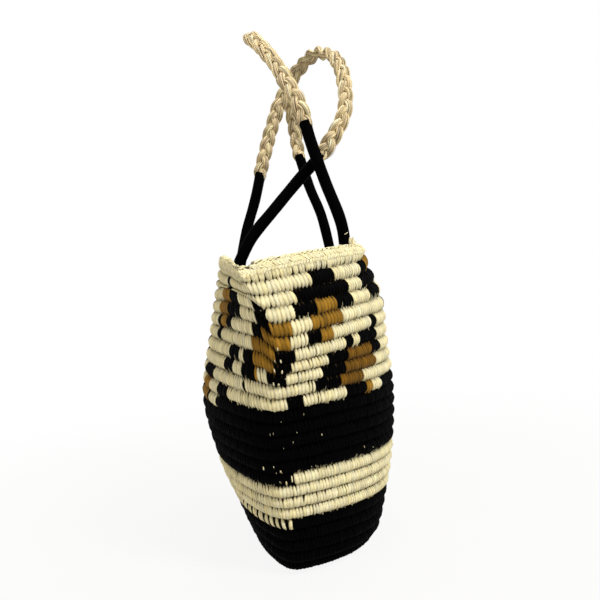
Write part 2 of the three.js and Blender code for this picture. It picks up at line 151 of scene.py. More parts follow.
def run_along(line, creep=0.0):
    """Length along a line of points, from 0 at its start."""
    return np.concatenate([[0], np.cumsum(np.linalg.norm(np.diff(line, axis=0), axis=1) + creep)])


def point_at(reach, run, line):
    return np.stack([np.interp(reach, run, line[:, i]) for i in range(3)], axis=-1)


print("a line of two steps:", run_along(np.array([[0, 0, 0], [3, 4, 0], [3, 4, 2]])), "mm")


# %% The oval and its height
def spoke(level, phi):
    c, s = np.cos(phi), np.sin(phi)
    power = FAR_FOLD + (near_fold(level) - FAR_FOLD) * (1 - c) / 2
    return c, np.sign(s) * np.abs(s) ** (2 * power)


def oval(level, phi):
    ex, ey = spoke(level, phi)
    return (ex * np.where(ex < 0, near_length(level), far_length(level)),
            fold_offset(level) + ey * np.where(ey > 0, back_width(level), front_width(level)))


STEP, TURN = 0.25, 2 * math.pi
ring = np.linspace(0, TURN, 1441)
grid_x, grid_y = oval(np.arange(109)[:, None] * STEP, ring[None, :])
along = STEP * PITCH_MM
rise = along ** 2 - np.diff(grid_x, axis=0) ** 2 - np.diff(grid_y, axis=0) ** 2
climb = np.sqrt(np.maximum(rise, (0.3 * along) ** 2))
climb = np.vstack([np.zeros(1441), np.cumsum(climb, axis=0)])
print("wall height at the near fold:", round(float(climb[-5, 720])), "mm")


# %% A point of the wall
def height(level, phi):
    n = np.clip(level / STEP, 0, len(climb) - 1.001)
    i, a = n.astype(int), np.mod(phi, TURN) / TURN * 1440
    j = np.minimum(a.astype(int), 1439)
    f, n = a - j, n - i
    low = climb[i, j] * (1 - f) + climb[i, j + 1] * f
    high = climb[i + 1, j] * (1 - f) + climb[i + 1, j + 1] * f
    c, s = np.cos(phi), np.sin(phi)
    lift = np.where(s < 0, FRONT_LIFT, BACK_LIFT) * s * s + np.where(c < 0, NEAR_LIFT, -FAR_SAG) * c * c
    return low + n * (high - low) + lift * np.maximum(level / MOUTH, 0) ** LIFT_POWER


def solid_point(level, phi, depth=0.0):
    level, phi, depth = np.broadcast_arrays(np.asarray(level, float), phi, depth)
    (x, y), (ex, ey) = oval(level, phi), spoke(level, phi)
    foot = np.maximum(level - 0.5, 0)
    (x0, y0), (x1, y1) = oval(foot, phi), oval(foot + 1, phi)
    lean = np.clip(((x1 - x0) * ex + (y1 - y0) * ey) / (np.hypot(ex, ey) * PITCH_MM), -0.9, 0.9)
    inward = depth * np.sqrt(1 - lean * lean)
    return np.stack([x - inward * ex, y - inward * ey, height(level, phi) + depth * lean], axis=-1) + SHIFT


def hundredths(turns):
    """Place round the bag in hundredths of a turn from the seam, left of it positive."""
    return 100 * (np.mod(turns + 0.5, 1) - 0.5)


PRESSED_AT = profile([-50, -28.5, -27.5, -24.5, -21, -18.5, -16.2, -14.5, 50], [0, 0, 0.3, 5, 7, 6, 1.5, 0, 0])
PRESSED_UP = profile([0, 21.5, 22.5, 23.5, 24.5, 25.5, 27, 28], [0, 0, 0.1, 0.45, 1.0, 1.4, 1.55, 1.55])


def wall_point(level, phi, depth=0.0):
    """The soft edge is pressed in a little between the two legs of the front handle."""
    level, phi, depth = np.broadcast_arrays(np.asarray(level, float), phi, depth)
    ex, ey = spoke(level, phi)
    inward = PRESSED_AT(hundredths((SEAM - phi) / TURN)) * PRESSED_UP(level) / np.hypot(ex, ey)
    return solid_point(level, phi, depth) - np.stack([inward * ex, inward * ey, 0 * inward], axis=-1)


print("mouth edge at the seam:", wall_point(25.5, SEAM).round(1))
print("pressed in low down by", round(float(PRESSED_UP(5.0) * PRESSED_AT(-21.0)), 2), "mm")


# %% [markdown]
# ## The spiral
# A course is one turn of the spiral. `course_line` gives the level of the line
# under course k at the share u of a turn, thin where the coil starts at the
# foot and where it runs out at the mouth.

# %% Lines between the courses
def mouth_level(u):
    return MOUTH - LAST_THIN + END_TAPER * u - CLEAR / PITCH_MM


def course_line(k, u):
    mouth = mouth_level(u)
    last = np.minimum(MOUTH - 1 + u, mouth - END_TAPER)
    line = np.where(k >= MOUTH, mouth, np.where(k >= MOUTH - 1, last, k + u))
    return np.where(k <= 0, 1 - END_TAPER + END_TAPER * u, line)


LEFT_RISE = profile([13, 15.5, 18.5, 20, 23.15, 24.1, 25.1, 26], [0, 0.13, 0.4, 0.48, 0.48, -0.38, -0.62, -0.5])
RIGHT_SAG = profile([17, 18.5, 19.5, 21.5, 22.5, 24.5, 26], [0, 0.2, 0.41, 0.45, 0.28, 0.26, 0])
FAR_LIFT = profile([19.5, 20.85, 21.85, 22.85, 23.85, 24.85, 26], [0, 0.03, 0.18, 0.38, 0.52, 0.62, 0.62])
FAR_SHARE = profile([-50, -34, -26, -16.8, -13.4, 50], [0, 0, 1, 1, 0, 0])


def fold_jog(line, u):
    """How far a line between courses is pulled off its level: up left of the near
    fold, down right of it, and up again where the front wall turns away."""
    w = hundredths(u)
    left = np.interp(w, [4.5, 6.5, 9, 18, 25, 45], [0, 0.4, 1, 1, 0.3, 0])
    right = np.interp(w, [-12, -5, 0, 4, 8], [0, 0.75, 1, 0.7, 0])
    inside = (line > 13) & (line < MOUTH)
    far = FAR_SHARE(w) * np.where(line > 19.5, FAR_LIFT(line), 0)
    return np.where(inside, left * LEFT_RISE(line) - right * np.where(line > 17, RIGHT_SAG(line), 0) + far, 0)


def wall_lines(tau):
    tau = np.clip(tau, 0, MOUTH - 1e-6)
    k = np.floor(tau)
    low, high = course_line(k, tau - k), course_line(k + 1, tau - k)
    return low + fold_jog(low, tau - k), high + fold_jog(high, tau - k)


def ground_lines(tau):
    tau = np.clip(tau, 0, 1)
    return 0 * tau, 1 - END_TAPER + END_TAPER * tau - 0.02


print("first course from", float(course_line(np.array(0), 0.0)), "to", float(course_line(np.array(1), 0.0)))

# %% [markdown]
# ## One stitch
# A stitch of raffia is a leaf: broad over the crest, pointed where it leaves
# the course above, rounder where it dives into the course below. It is shaped
# once from a coarse sphere in edit mode, and every stitch of the bag is a copy
# of it, bent to its own place on the wall.

# %% Shape the stitch
def read_shape(obj):
    """Points, quads and tris, with the faces in an order that is the same in each run."""
    points = np.array([v.co for v in obj.data.vertices])
    faces = sorted((list(polygon.vertices) for polygon in obj.data.polygons), key=sorted)
    quads, tris = (np.array([face for face in faces if len(face) == size]) for size in (4, 3))
    bpy.data.objects.remove(obj)
    return points, quads, tris


def resize_where(obj, test, value, center=(0, 0, 0)):
    for v in obj.data.vertices:
        v.select = bool(test(v.co))
    bpy.ops.object.mode_set(mode="EDIT")
    bpy.ops.transform.resize(value=value, center_override=center)
    bpy.ops.object.mode_set(mode="OBJECT")


def leaf(sides, rings, point):
    bpy.ops.mesh.primitive_uv_sphere_add(segments=sides, ring_count=rings, radius=1)
    obj = bpy.context.object
    bpy.ops.object.mode_set(mode="EDIT")
    bpy.ops.mesh.select_mode(type="VERT")
    bpy.ops.object.mode_set(mode="OBJECT")
    resize_where(obj, lambda co: abs(co.z) < 0.8, (1.12, 1, 1))
    resize_where(obj, lambda co: co.z > 0.6, (point, 1, 1))
    resize_where(obj, lambda co: co.z < -0.6, (1.08, 1, 1))
    return read_shape(obj)


OUTER_LEAF, INNER_LEAF = leaf(6, 8, 0.9), leaf(5, 5, 1.0)
print("one stitch has", len(OUTER_LEAF[0]), "points outside and", len(INNER_LEAF[0]), "inside")


# %% Turn arrays of points into a mesh
def surface(name, parts, body, replaced=()):
    """parts: a list of (points in mm, quads, tris, uv, dye, material)."""
    mesh = bpy.data.meshes.new(name)
    points, loops, sizes, uvs, dyes, looks = [], [], [], [], [], []
    materials, offset = [], 0
    for p, quads, tris, uv, dye, material in parts:
        if material not in materials:
            materials.append(material)
        points.append(p)
        dyes.append(dye)
        for faces, size in ((quads, 4), (tris, 3)):
            if len(faces):
                loops.append(faces.ravel() + offset)
                sizes.append(np.full(len(faces), size))
                looks.append(np.full(len(faces), materials.index(material)))
                uvs.append(uv[faces.ravel()])
        offset += len(p)
    points, loops, sizes = np.concatenate(points), np.concatenate(loops), np.concatenate(sizes)
    mesh.vertices.add(len(points))
    mesh.vertices.foreach_set("co", (points * MM).astype(np.float32).ravel())
    mesh.loops.add(len(loops))
    mesh.loops.foreach_set("vertex_index", loops.astype(np.int32))
    mesh.polygons.add(len(sizes))
    mesh.polygons.foreach_set("loop_start", np.concatenate([[0], np.cumsum(sizes)[:-1]]).astype(np.int32))
    mesh.polygons.foreach_set("material_index", np.concatenate(looks).astype(np.int32))
    mesh.polygons.foreach_set("use_smooth", np.ones(len(sizes), bool))
    mesh.update(calc_edges=True)
    mesh.uv_layers.new(name="UVMap").data.foreach_set("uv", np.concatenate(uvs).astype(np.float32).ravel())
    # The dye attribute holds each part's colour, with painted shade included where the stitches carry it.
    colour = mesh.attributes.new("dye", "FLOAT_COLOR", "POINT")
    rgba = np.ones((len(points), 4), np.float32)
    rgba[:, :3] = np.concatenate(dyes)
    colour.data.foreach_set("color", rgba.ravel())
    for material in materials:
        mesh.materials.append(material)
    obj = bpy.data.objects.new(name, mesh)
    bpy.context.scene.collection.objects.link(obj)
    if body:
        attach(obj, body)
    if replaced:
        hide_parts(*replaced)
    print(name, "has", int((sizes - 2).sum()), "triangles")
    return obj


def copies(shape, count):
    """Faces of count copies of a shape, and the numbering of their points."""
    points, quads, tris = shape
    shift = (np.arange(count) * len(points))[:, None, None]
    return (quads[None] + shift).reshape(-1, 4), (tris[None] + shift).reshape(-1, 3)


# %% [markdown]
# ## Dyes
# Each stitch carries its own dye as a colour attribute, a little lighter or
# darker than its neighbour, as strips of raffia are. Where the stitches are
# laid, painted shade is multiplied into the same attribute.

# %% Colours of the raffia
CREAM = np.array([0.86, 0.79, 0.50])
MUSTARD = np.array([0.29, 0.150, 0.014])
DARK_MUSTARD = np.array([0.165, 0.077, 0.003])
BLACK = np.array([0.0005, 0.0005, 0.0006])
DARKEST, LIGHTEST = 0.0003, 0.95
# Near-black brown for the cores under pale stitches: painted shade in the gaps between the stitches.
PAINTED_HOLE_SHADE = np.array([0.030, 0.022, 0.012])
STRAW = np.array([0.74, 0.61, 0.375])
rng = np.random.default_rng(11)
DYES = {"c": CREAM, "b": MUSTARD, "d": DARK_MUSTARD, "k": BLACK}
SPREAD = {"c": 0.10, "b": 0.24, "d": 0.24, "k": 0.25}


def dyed(kinds):
    tones = np.array([DYES[k] for k in kinds])
    vary = np.array([SPREAD[k] for k in kinds])
    light = 1 + vary * rng.normal(0, 0.6, len(kinds))
    warm = rng.normal(0, 0.012, len(kinds))
    return np.clip(tones * light[:, None] * (1 + warm[:, None] * np.array([1, 0, -4])), DARKEST, LIGHTEST)


print("dyes:", {k: v.round(3).tolist() for k, v in DYES.items()})


# %% [markdown]
# ## A run of stitched spiral
# The stitches stand shoulder to shoulder along the spiral, about 3 mm each,
# square to their course, and each one overlaps the next a little. `depth_line`
# is the rounded back of a course in section. It turns out again past the line
# between two courses, where the tips lie on the neighbour.

# %% Lay the stitches of a run
DIP = 3.6


def depth_line(s):
    folded = np.where(s > 1, 2 - s, np.where(s < 0, -s, s))
    t = np.abs(2 * folded - 1)
    return DIP * (0.5 * t ** 2 + 0.5 * (1 - np.sqrt(1 - 0.94 * t * t)) / (1 - math.sqrt(0.06)))


def spiral_table(start, end, lines):
    """Places on the spiral against the length of its crest in mm."""
    tau = np.linspace(start - 0.01, end + 0.01, max(60, int(240 * (end - start))))
    low, high = lines(tau)
    crest = wall_point((low + high) / 2, SEAM - TURN * tau)
    run = run_along(crest, creep=1e-6)
    return run - np.interp(start, tau, run), tau


def course_skew(reach, table, lines):
    """How far, in mm along the course, its upper line runs ahead of its lower one."""
    tau = np.interp(reach, *table)
    low, high = lines(tau)
    phi = SEAM - TURN * tau
    upward = wall_point(high, phi) - wall_point(low, phi)
    before, after = (SEAM - TURN * np.interp(reach + step, *table) for step in (-4, 4))
    forward = wall_point((low + high) / 2, after) - wall_point((low + high) / 2, before)
    return np.clip((upward * forward).sum(-1) / np.linalg.norm(forward, axis=-1), -5, 5)


def bend_stitches(shape, reach, half, bottom, top, rise, lean, table, lines, inside=False):
    """Bends copies of a leaf to their places; returns points, uv and the painted shade that darkens the valley and the
    stitch edges.
    """
    across, out, along = shape[0].T
    s = bottom[:, None] + (top - bottom)[:, None] * (along + 1) / 2
    shift = across * half[:, None] + (lean - course_skew(reach, table, lines))[:, None] * (s - 0.5)
    place = np.interp(reach[:, None] + shift, *table)
    low, high = lines(place)
    lift = out * rise[:, None]
    depth = WALL - depth_line(s) * 0.8 + lift if inside else depth_line(s) - lift
    p = wall_point(np.maximum(low + (high - low) * s, 0.02), SEAM - TURN * place, depth)
    uv = np.stack([shift + 7.3 * np.arange(len(reach))[:, None], s * 11 + 0 * shift], axis=-1)
    # Painted shade: the colour darkens towards the valley at both ends of a stitch and towards its edges.
    shade = (1 - 0.6 * np.abs(2 * np.clip(s, 0, 1) - 1) ** 5) * (1 - 0.34 * np.abs(across) ** 3)
    return p.reshape(-1, 3), uv.reshape(-1, 2), shade.reshape(-1)


def core_tube(start, end, lines, sides=10, per_turn=90):
    tau = np.linspace(start, end, max(12, int(per_turn * (end - start))) + 1)
    a = np.linspace(0, TURN, sides, endpoint=False)
    low, high = lines(tau)
    level = (low + high)[:, None] / 2 + 0.52 * (high - low)[:, None] * np.sin(a)
    p = wall_point(np.maximum(level, 0.02), (SEAM - TURN * tau)[:, None], WALL / 2 - 3.5 * np.cos(a))
    return tube_faces(p)


def tube_faces(p):
    """Quads between rings of points, and a fan on each end."""
    count, sides = p.shape[:2]
    i, k = np.meshgrid(np.arange(count - 1), np.arange(sides), indexing="ij")
    a, b = i * sides + k, i * sides + (k + 1) % sides
    quads = np.stack([a, b, b + sides, a + sides], axis=-1).reshape(-1, 4)
    flat = np.concatenate([p.reshape(-1, 3), p[0].mean(0)[None], p[-1].mean(0)[None]])
    n, last = count * sides, (count - 1) * sides
    k, k1 = np.arange(sides), (np.arange(sides) + 1) % sides
    fans = (n, k1, k), (n + 1, last + k, last + k1)
    tris = np.concatenate([np.stack(np.broadcast_arrays(*fan), axis=-1) for fan in fans])
    v = flat[quads[:, [0, 1, 2]]]
    middle = p.mean(1)[quads[:, 0] // sides]
    facing = ((np.cross(v[:, 1] - v[:, 0], v[:, 2] - v[:, 0])) * (v[:, 0] - middle)).sum(-1).sum()
    if facing < 0:
        quads, tris = quads[:, ::-1], tris[:, ::-1]
    return flat, quads, tris


print("valley between two courses:", float(depth_line(np.array(0.0)).round(2)), "mm deep")

# %% [markdown]
# ## The animal spots
# The spotted zone is worked like a chart: each stitch takes black, mustard or
# cream. A spot is made of slanted patches laid over one another, a black one
# first and its mustard heart over it. Places round the bag are in hundredths
# of a turn from the seam, left of it positive.

# %% Patches of the spots
PATCHES = []


def patch(colour, low, high, left_low, right_low, left_high=None, right_high=None):
    """A patch over courses low to high, with straight slanted sides."""
    PATCHES.append((colour, low, high, left_low, right_low,
                    left_low if left_high is None else left_high,
                    right_low if right_high is None else right_high))


def fold_spot():
    patch("k", 21, 22, 8.8, 4.9, 7.6, 4.0)
    patch("k", 20, 20, 10.2, 8.2)
    patch("k", 16, 16, 12.0, 11.2)
    patch("k", 17, 18, 12.7, 10.0, 12.7, 10.4)
    patch("k", 17, 19, 6.5, 0.6, 4.4, -0.7)
    patch("b", 20, 21, 8.2, 0.2, 4.9, -0.9)
    patch("b", 17, 17, 10.0, 9.1)
    patch("b", 18, 19, 10.4, 5.3, 11.1, 4.4)


def crown_spot():
    patch("k", 23, 24, -3.4, -10.1, -6.1, -8.8)
    patch("k", 22, 22, -2.1, -10.2)
    patch("k", 20, 20, -2.9, -4.5)
    patch("b", 20, 22, -4.5, -6.1, -5.1, -7.8)
    patch("b", 21, 21, -4.0, -8.0)


def wall_spot():
    patch("k", 16, 18, -3.5, -9.0, -5.1, -14.2)
    patch("k", 19, 19, -7.5, -8.7)
    patch("k", 19, 19, -10.0, -13.4)
    patch("d", 16, 18, -6.6, -9.9, -8.0, -11.8)
    patch("d", 17, 17, -7.3, -12.5)
    patch("c", 15, 15, -1.9, -7.4)
    patch("b", 15, 15, -10.4, -11.5)
    patch("c", 15, 15, -11.5, -13.4)


def small_spots():
    patch("k", 22, 22, -13.4, -17.2)
    patch("k", 23, 24, -12.4, -25.0, -13.2, -25.0)
    patch("b", 24, 24, -14.6, -21.0)
    patch("k", 20, 20, -12.4, -13.7)
    patch("k", 17, 18, 16.9, 14.4, 15.9, 13.5)
    patch("k", 15, 15, 18.1, 15.0)
    patch("b", 15, 15, 23.8, 20.7)
    patch("b", 14, 14, 26.0, 21.6)
    patch("c", 14, 14, 20.6, 18.3)
    patch("k", 15, 15, 0.7, 0.0)
    patch("k", 21, 22, 16.4, 12.7, 15.2, 12.3)
    patch("k", 20, 20, 17.2, 15.6)
    patch("b", 21, 22, 20.0, 16.4, 18.4, 15.2)
    patch("b", 20, 20, 19.0, 17.2)
    patch("k", 19, 20, 20.0, 18.4, 20.2, 19.0)
    patch("k", 23, 23, 15.8, 14.2)
    patch("k", 24, 24, 15.0, 14.3)
    patch("k", 16, 16, 24.5, 19.7)


def rosette(place, course, wide):
    """A ring of black with a mustard heart, for the walls behind."""
    for colour, low, high, sides in (("k", -1, 2, (0.7, -0.8, 0.5, -0.5)), ("k", 0, 1, (1, -1, 0.9, -1)),
                                     ("b", 0, 1, (0.4, -0.5, 0.2, -0.6))):
        patch(colour, course + low, course + high, *(place + side * wide for side in sides))


for spot in (fold_spot, crown_spot, wall_spot, small_spots):
    spot()
ROSETTES = [(-22, 21, 3.4), (-24, 16, 4.0), (-31, 18, 3.6), (-33, 22, 3.0), (-37, 16, 3.2), (-41, 20, 4.0),
            (-47, 17, 3.4), (-48.5, 22, 1.4), (28, 22, 3.2), (30, 17, 3.8), (35, 20, 3.4), (39, 16, 3.0),
            (41, 22, 3.6), (46, 19, 3.2)]
for row in ROSETTES:
    rosette(*row)
print(len(PATCHES), "patches of dye")


# %% Which dye a stitch takes
def chart(tau):
    """The dye of each stitch from its place on the spiral."""
    k = np.floor(tau)
    u = tau - k
    w = 100 * np.where(u < 0.5, u, u - 1)
    course = np.where(u < 0.5, k, k + 1)
    kinds = np.where(tau < WAIST_TOP, "k", "c")
    for colour, low, high, l0, r0, l1, r1 in PATCHES:
        t = (course - low) / max(high - low, 1)
        inside = (course >= low) & (course <= high) & (w <= l0 + (l1 - l0) * t) & (w > r0 + (r1 - r0) * t)
        kinds[inside] = colour
    kinds[(tau >= STRIPE_FOOT + 0.022) & (tau < STRIPE_TOP + 0.008)] = "c"
    kinds[tau >= RIM_FOOT + 1] = "c"
    return kinds


probe = chart(np.linspace(15, 24, 2000))
print("share of cream, mustard, black:", [round(float((probe == k).mean()), 2) for k in "cbk"])

# %% [markdown]
# ## Finishes
# Raffia and straw are bundles of fine fibres, so they share one node group:
# a noise stretched along the fibres gives light and dark streaks, a small
# height for the bump and an uneven sheen. It follows each piece's UV map,
# which runs in millimetres across and along the fibres.

# %% The fibre group
def new_group(name, inputs, outputs):
    group = bpy.data.node_groups.new(name, "ShaderNodeTree")
    for title, kind, value in inputs:
        socket = group.interface.new_socket(title, in_out="INPUT", socket_type=kind)
        socket.default_value = value
    for title, kind in outputs:
        group.interface.new_socket(title, in_out="OUTPUT", socket_type=kind)
    return group, group.nodes.new("NodeGroupInput"), group.nodes.new("NodeGroupOutput")


fibres, take, give = new_group(
    "Fibre streaks",
    [("Colour", "NodeSocketColor", (0.8, 0.8, 0.8, 1)),
     ("Fine", "NodeSocketFloat", 2.2), ("Long", "NodeSocketFloat", 0.12),
     ("Contrast", "NodeSocketFloat", 0.35), ("Dirt", "NodeSocketFloat", 0.2)],
    [("Colour", "NodeSocketColor"), ("Roughness", "NodeSocketFloat"), ("Height", "NodeSocketFloat")])


def wire(tree, a, b):
    tree.links.new(a, b)


def math_node(tree, operation, a, b):
    node = tree.nodes.new("ShaderNodeMath")
    node.operation = operation
    for socket, value in zip(node.inputs, (a, b)):
        if isinstance(value, (int, float)):
            socket.default_value = value
        else:
            wire(tree, value, socket)
    return node.outputs[0]


uv = fibres.nodes.new("ShaderNodeUVMap")
uv.uv_map = "UVMap"
split = fibres.nodes.new("ShaderNodeSeparateXYZ")
wire(fibres, uv.outputs["UV"], split.inputs[0])
joined = fibres.nodes.new("ShaderNodeCombineXYZ")
wire(fibres, math_node(fibres, "MULTIPLY", split.outputs["X"], take.outputs["Fine"]), joined.inputs["X"])
wire(fibres, math_node(fibres, "MULTIPLY", split.outputs["Y"], take.outputs["Long"]), joined.inputs["Y"])
streak = fibres.nodes.new("ShaderNodeTexNoise")
streak.inputs["Scale"].default_value = 1.0
streak.inputs["Detail"].default_value = 3.0
streak.inputs["Roughness"].default_value = 0.62
wire(fibres, joined.outputs[0], streak.inputs["Vector"])
patchy = fibres.nodes.new("ShaderNodeTexNoise")
patchy.inputs["Scale"].default_value = 55.0
patchy.inputs["Detail"].default_value = 2.0
place = fibres.nodes.new("ShaderNodeTexCoord")
wire(fibres, place.outputs["Object"], patchy.inputs["Vector"])
light, grime = (
    math_node(fibres, "MULTIPLY", math_node(fibres, "SUBTRACT", noise.outputs["Fac"], 0.5), take.outputs[amount])
    for noise, amount in ((streak, "Contrast"), (patchy, "Dirt")))
tone = math_node(fibres, "ADD", math_node(fibres, "ADD", math_node(fibres, "MULTIPLY", light, 2.0), grime), 1.0)
shade = fibres.nodes.new("ShaderNodeVectorMath")
shade.operation = "SCALE"
wire(fibres, take.outputs["Colour"], shade.inputs[0])
wire(fibres, tone, shade.inputs["Scale"])
wire(fibres, shade.outputs[0], give.inputs["Colour"])
gloss = math_node(fibres, "MULTIPLY", streak.outputs["Fac"], -0.25)
wire(fibres, math_node(fibres, "ADD", gloss, 0.80), give.inputs["Roughness"])
wire(fibres, streak.outputs["Fac"], give.inputs["Height"])
print("fibre group with", len(fibres.nodes), "nodes")


# %% Materials that use it
def fibre_material(name, fine, long, contrast, dirt, bump, sheen, specular):
    material = bpy.data.materials.new(name)
    material.use_nodes = True
    tree = material.node_tree
    shader = tree.nodes["Principled BSDF"]
    dye = tree.nodes.new("ShaderNodeAttribute")
    dye.attribute_name = "dye"
    group = tree.nodes.new("ShaderNodeGroup")
    group.node_tree = fibres
    for title, value in (("Fine", fine), ("Long", long), ("Contrast", contrast), ("Dirt", dirt)):
        group.inputs[title].default_value = value
    wire(tree, dye.outputs["Color"], group.inputs["Colour"])
    wire(tree, group.outputs["Colour"], shader.inputs["Base Color"])
    wire(tree, group.outputs["Roughness"], shader.inputs["Roughness"])
    relief = tree.nodes.new("ShaderNodeBump")
    relief.inputs["Strength"].default_value = bump
    relief.inputs["Distance"].default_value = 0.0006
    wire(tree, group.outputs["Height"], relief.inputs["Height"])
    wire(tree, relief.outputs[0], shader.inputs["Normal"])
    shader.inputs["Sheen Weight"].default_value = sheen
    shader.inputs["Sheen Roughness"].default_value = 0.5
    shader.inputs["Specular IOR Level"].default_value = specular
    return material


raffia = fibre_material("cream_raffia", 1.7, 0.12, 0.62, 0.3, 1.0, 0.02, 0.1)
black_raffia = fibre_material("black_raffia", 1.3, 0.12, 0.5, 0.3, 0.8, 0.0, 0.015)
core_fibre = fibre_material("core_fibre", 1.2, 0.3, 0.5, 0.4, 0.6, 0.0, 0.0)
straw = fibre_material("straw", 3.2, 0.05, 0.75, 0.25, 1.0, 0.08, 0.3)
thread = fibre_material("black_thread", 1.0, 0.6, 0.4, 0.3, 0.6, 0.0, 0.01)
print("materials:", [m.name for m in (raffia, black_raffia, core_fibre, straw, thread)])


# %% [markdown]
# ## The stitched bands
# The spiral is one piece of work, but the solids cut it where the colour
# changes, so each run of courses becomes one object and stands for its solid.

# %% Lay copies of the leaf and colour them
def leaves(shape, reach, kinds, half, bottom, top, rise, lean, table, lines, inside=False):
    """One part for the dyed stitches and one for the black ones."""
    p, uv, shade = bend_stitches(shape, reach, half, bottom, top, rise, lean, table, lines, inside)
    n, dye = len(shape[0]), dyed(kinds)
    parts = []
    for black, material in ((False, raffia), (True, black_raffia)):
        chosen = np.flatnonzero((kinds == "k") == black)
        if len(chosen):
            take = (chosen[:, None] * n + np.arange(n)).ravel()
            quads, tris = copies(shape, len(chosen))
            # The dye is darkened by the painted shade from bend_stitches.
            colour = np.repeat(dye[chosen], n, axis=0) * shade[take][:, None]
            parts.append((p[take], quads, tris, uv[take], colour, material))
    return parts


def even_run(start, end, step, lines):
    """The table of a stretch of the spiral, and even places along it."""
    table = spiral_table(start, end, lines)
    length = np.interp(end, table[1], table[0])
    count = round(length / step)
    return table, (np.arange(count) + 0.5) * length / count


def plain_leaves(shape, reach, kinds, sizes, table, lines, inside=False):
    """Leaves that all have the same half width, bottom, top, rise and lean."""
    return leaves(shape, reach, kinds, *np.outer(sizes, np.ones(len(reach))), table, lines, inside)


def cream_part(p, uv, shade):
    """Cream leaves with a dye each, darkened by the painted shade of their points."""
    quads, tris = copies(OUTER_LEAF, len(p))
    colour = dyed(["c"] * len(p))[:, None] * np.broadcast_to(shade, p.shape[:2])[..., None]
    return p.reshape(-1, 3), quads, tris, uv.reshape(-1, 2), colour.reshape(-1, 3), raffia


def core_part(tube, colour):
    """The fibre core under the stitches, in one colour; under pale stitches that colour is painted shade for the gaps.
    """
    p, quads, tris = tube
    return p, quads, tris, p[:, :2] * 0.3, np.tile(colour, (len(p), 1)), core_fibre


def hairs(reach, kinds, above, table, lines):
    """Thin pointed ends of pale stitches that lie on the black course above."""
    at = np.flatnonzero((kinds == "c") & (above == "k"))
    at = rng.choice(at, int(1.1 * len(at))) if len(at) else at
    n = len(at)
    if not n:
        return []
    return leaves(OUTER_LEAF, reach[at] + rng.normal(0, 1.2, n), kinds[at], rng.uniform(0.35, 0.6, n), np.full(n, 0.7),
                  1.1 + 0.38 * rng.random(n) ** 1.5, rng.uniform(0.85, 1.1, n), rng.normal(0.5, 2.2, n), table, lines)


# %% Stitch a run of the spiral
def toothed(reach, kinds, half):
    """The stripe starts with single stitches, with black between them."""
    single, last = 9, 22
    order = np.cumsum(kinds == "c") - 1
    first = order >= 0
    kinds[first & (order < single) & (order % 2 == 1)] = "k"
    kinds[(order >= single) & (order < last) & (order % 3 == 0)] = "k"
    half[first & (order < last) & (kinds == "k")] *= 0.6
    half[first & (order < single) & (kinds == "c")] *= 1.2


def stitched_run(name, start, end, stitch, replaced, slot, lines=wall_lines):
    table = spiral_table(start, end, lines)
    length = np.interp(end, table[1], table[0])
    count = max(4, round(length / stitch))
    step = length / count
    reach = (np.arange(count) + 0.5) * step + rng.normal(0, 0.14, count)
    tau = np.interp(reach, *table)
    kinds, above = chart(tau), chart(np.minimum(tau + 1, MOUTH - 0.01))
    half = step / 2 * (1.22 + rng.normal(0, 0.17, count))
    if name == "stripe_courses":
        toothed(reach, kinds, half)
    wavy = 0.7 * np.sin(reach / 31 + start) + 0.5 * np.sin(reach / 12.7)
    parts = leaves(OUTER_LEAF, reach, kinds, half,
                   -0.06 + rng.normal(0, 0.035, count), 1.07 + rng.normal(0, 0.04, count),
                   0.66 + rng.normal(0, 0.12, count), 1.0 + wavy + rng.normal(0, 0.6, count), table, lines)
    parts += hairs(reach, kinds, above, table, lines)
    parts += leaves(INNER_LEAF, reach + 0.3 * step, kinds, half * 0.95, np.full(count, -0.04), np.full(count, 1.04),
                    np.full(count, 0.6), np.full(count, -1.0), table, lines, inside=True)
    # Under pale bands the core takes the near-black painted hole shade; under black bands it is black.
    parts.append(core_part(core_tube(start, end, lines), BLACK if slot == "black_raffia" else PAINTED_HOLE_SHADE))
    surface(name, parts, "bag", replaced)


BANDS = [
    ("foot_courses", 0, STRIPE_FOOT, 3.3, "foot_band", "black_raffia"),
    ("stripe_courses", STRIPE_FOOT, STRIPE_TOP, 2.9, "stripe_band", "cream_raffia"),
    ("waist_courses", STRIPE_TOP, WAIST_TOP, 3.3, "waist_band", "black_raffia"),
    ("lower_spotted_courses", WAIST_TOP, SPOT_MIDDLE, 3.2, "lower_spotted_band", "spotted_raffia"),
    ("upper_spotted_courses", SPOT_MIDDLE, RIM_FOOT, 3.7, "upper_spotted_band", "spotted_raffia"),
]
for name, start, end, stitch, node, slot in BANDS:
    stitched_run(name, start, end, stitch, [node], slot)


# %% [markdown]
# ## The rim
# The last turn is a fat roll. It starts as a thin course and takes in the
# tail of the coil, so its stitches run from their lower line up and over the
# edge of the mouth. Three rows of slanted strips lie over its upper half.

# %% Stitch the rim
ROLL_START, ROLL_OVER = RIM_FOOT + 0.32, 2.4
PAIR_STEP, BRAID_STEP, THIN_STEP = 6.1, 3.0, 3.8
EDGE_DIP = profile([-50, -44, -32, -18, -12, 5, 9, 17, 24, 50], [0, 0, 3.5, 3.5, 0, 0, 2.5, 2.5, 0, 0])


def edge_dip(u):
    """How far, in mm, the edge is pressed down: at the front bulge and left of the fold."""
    return EDGE_DIP(hundredths(u))


def roll_lines(tau):
    low, _ = wall_lines(tau)
    return low, mouth_level(np.mod(tau, 1)) + (ROLL_OVER - edge_dip(tau)) / PITCH_MM


def roll_depth(s):
    """The roll in section: it turns in at the bottom and a little at the top."""
    return np.where(s < 0.45, DIP * (1 - np.sqrt(1 - np.clip((0.45 - s) / 0.45, 0, 0.99) ** 2)),
                    0.22 * WALL * (1 - np.sqrt(1 - np.clip((s - 0.45) / 0.6, 0, 1) ** 2)))


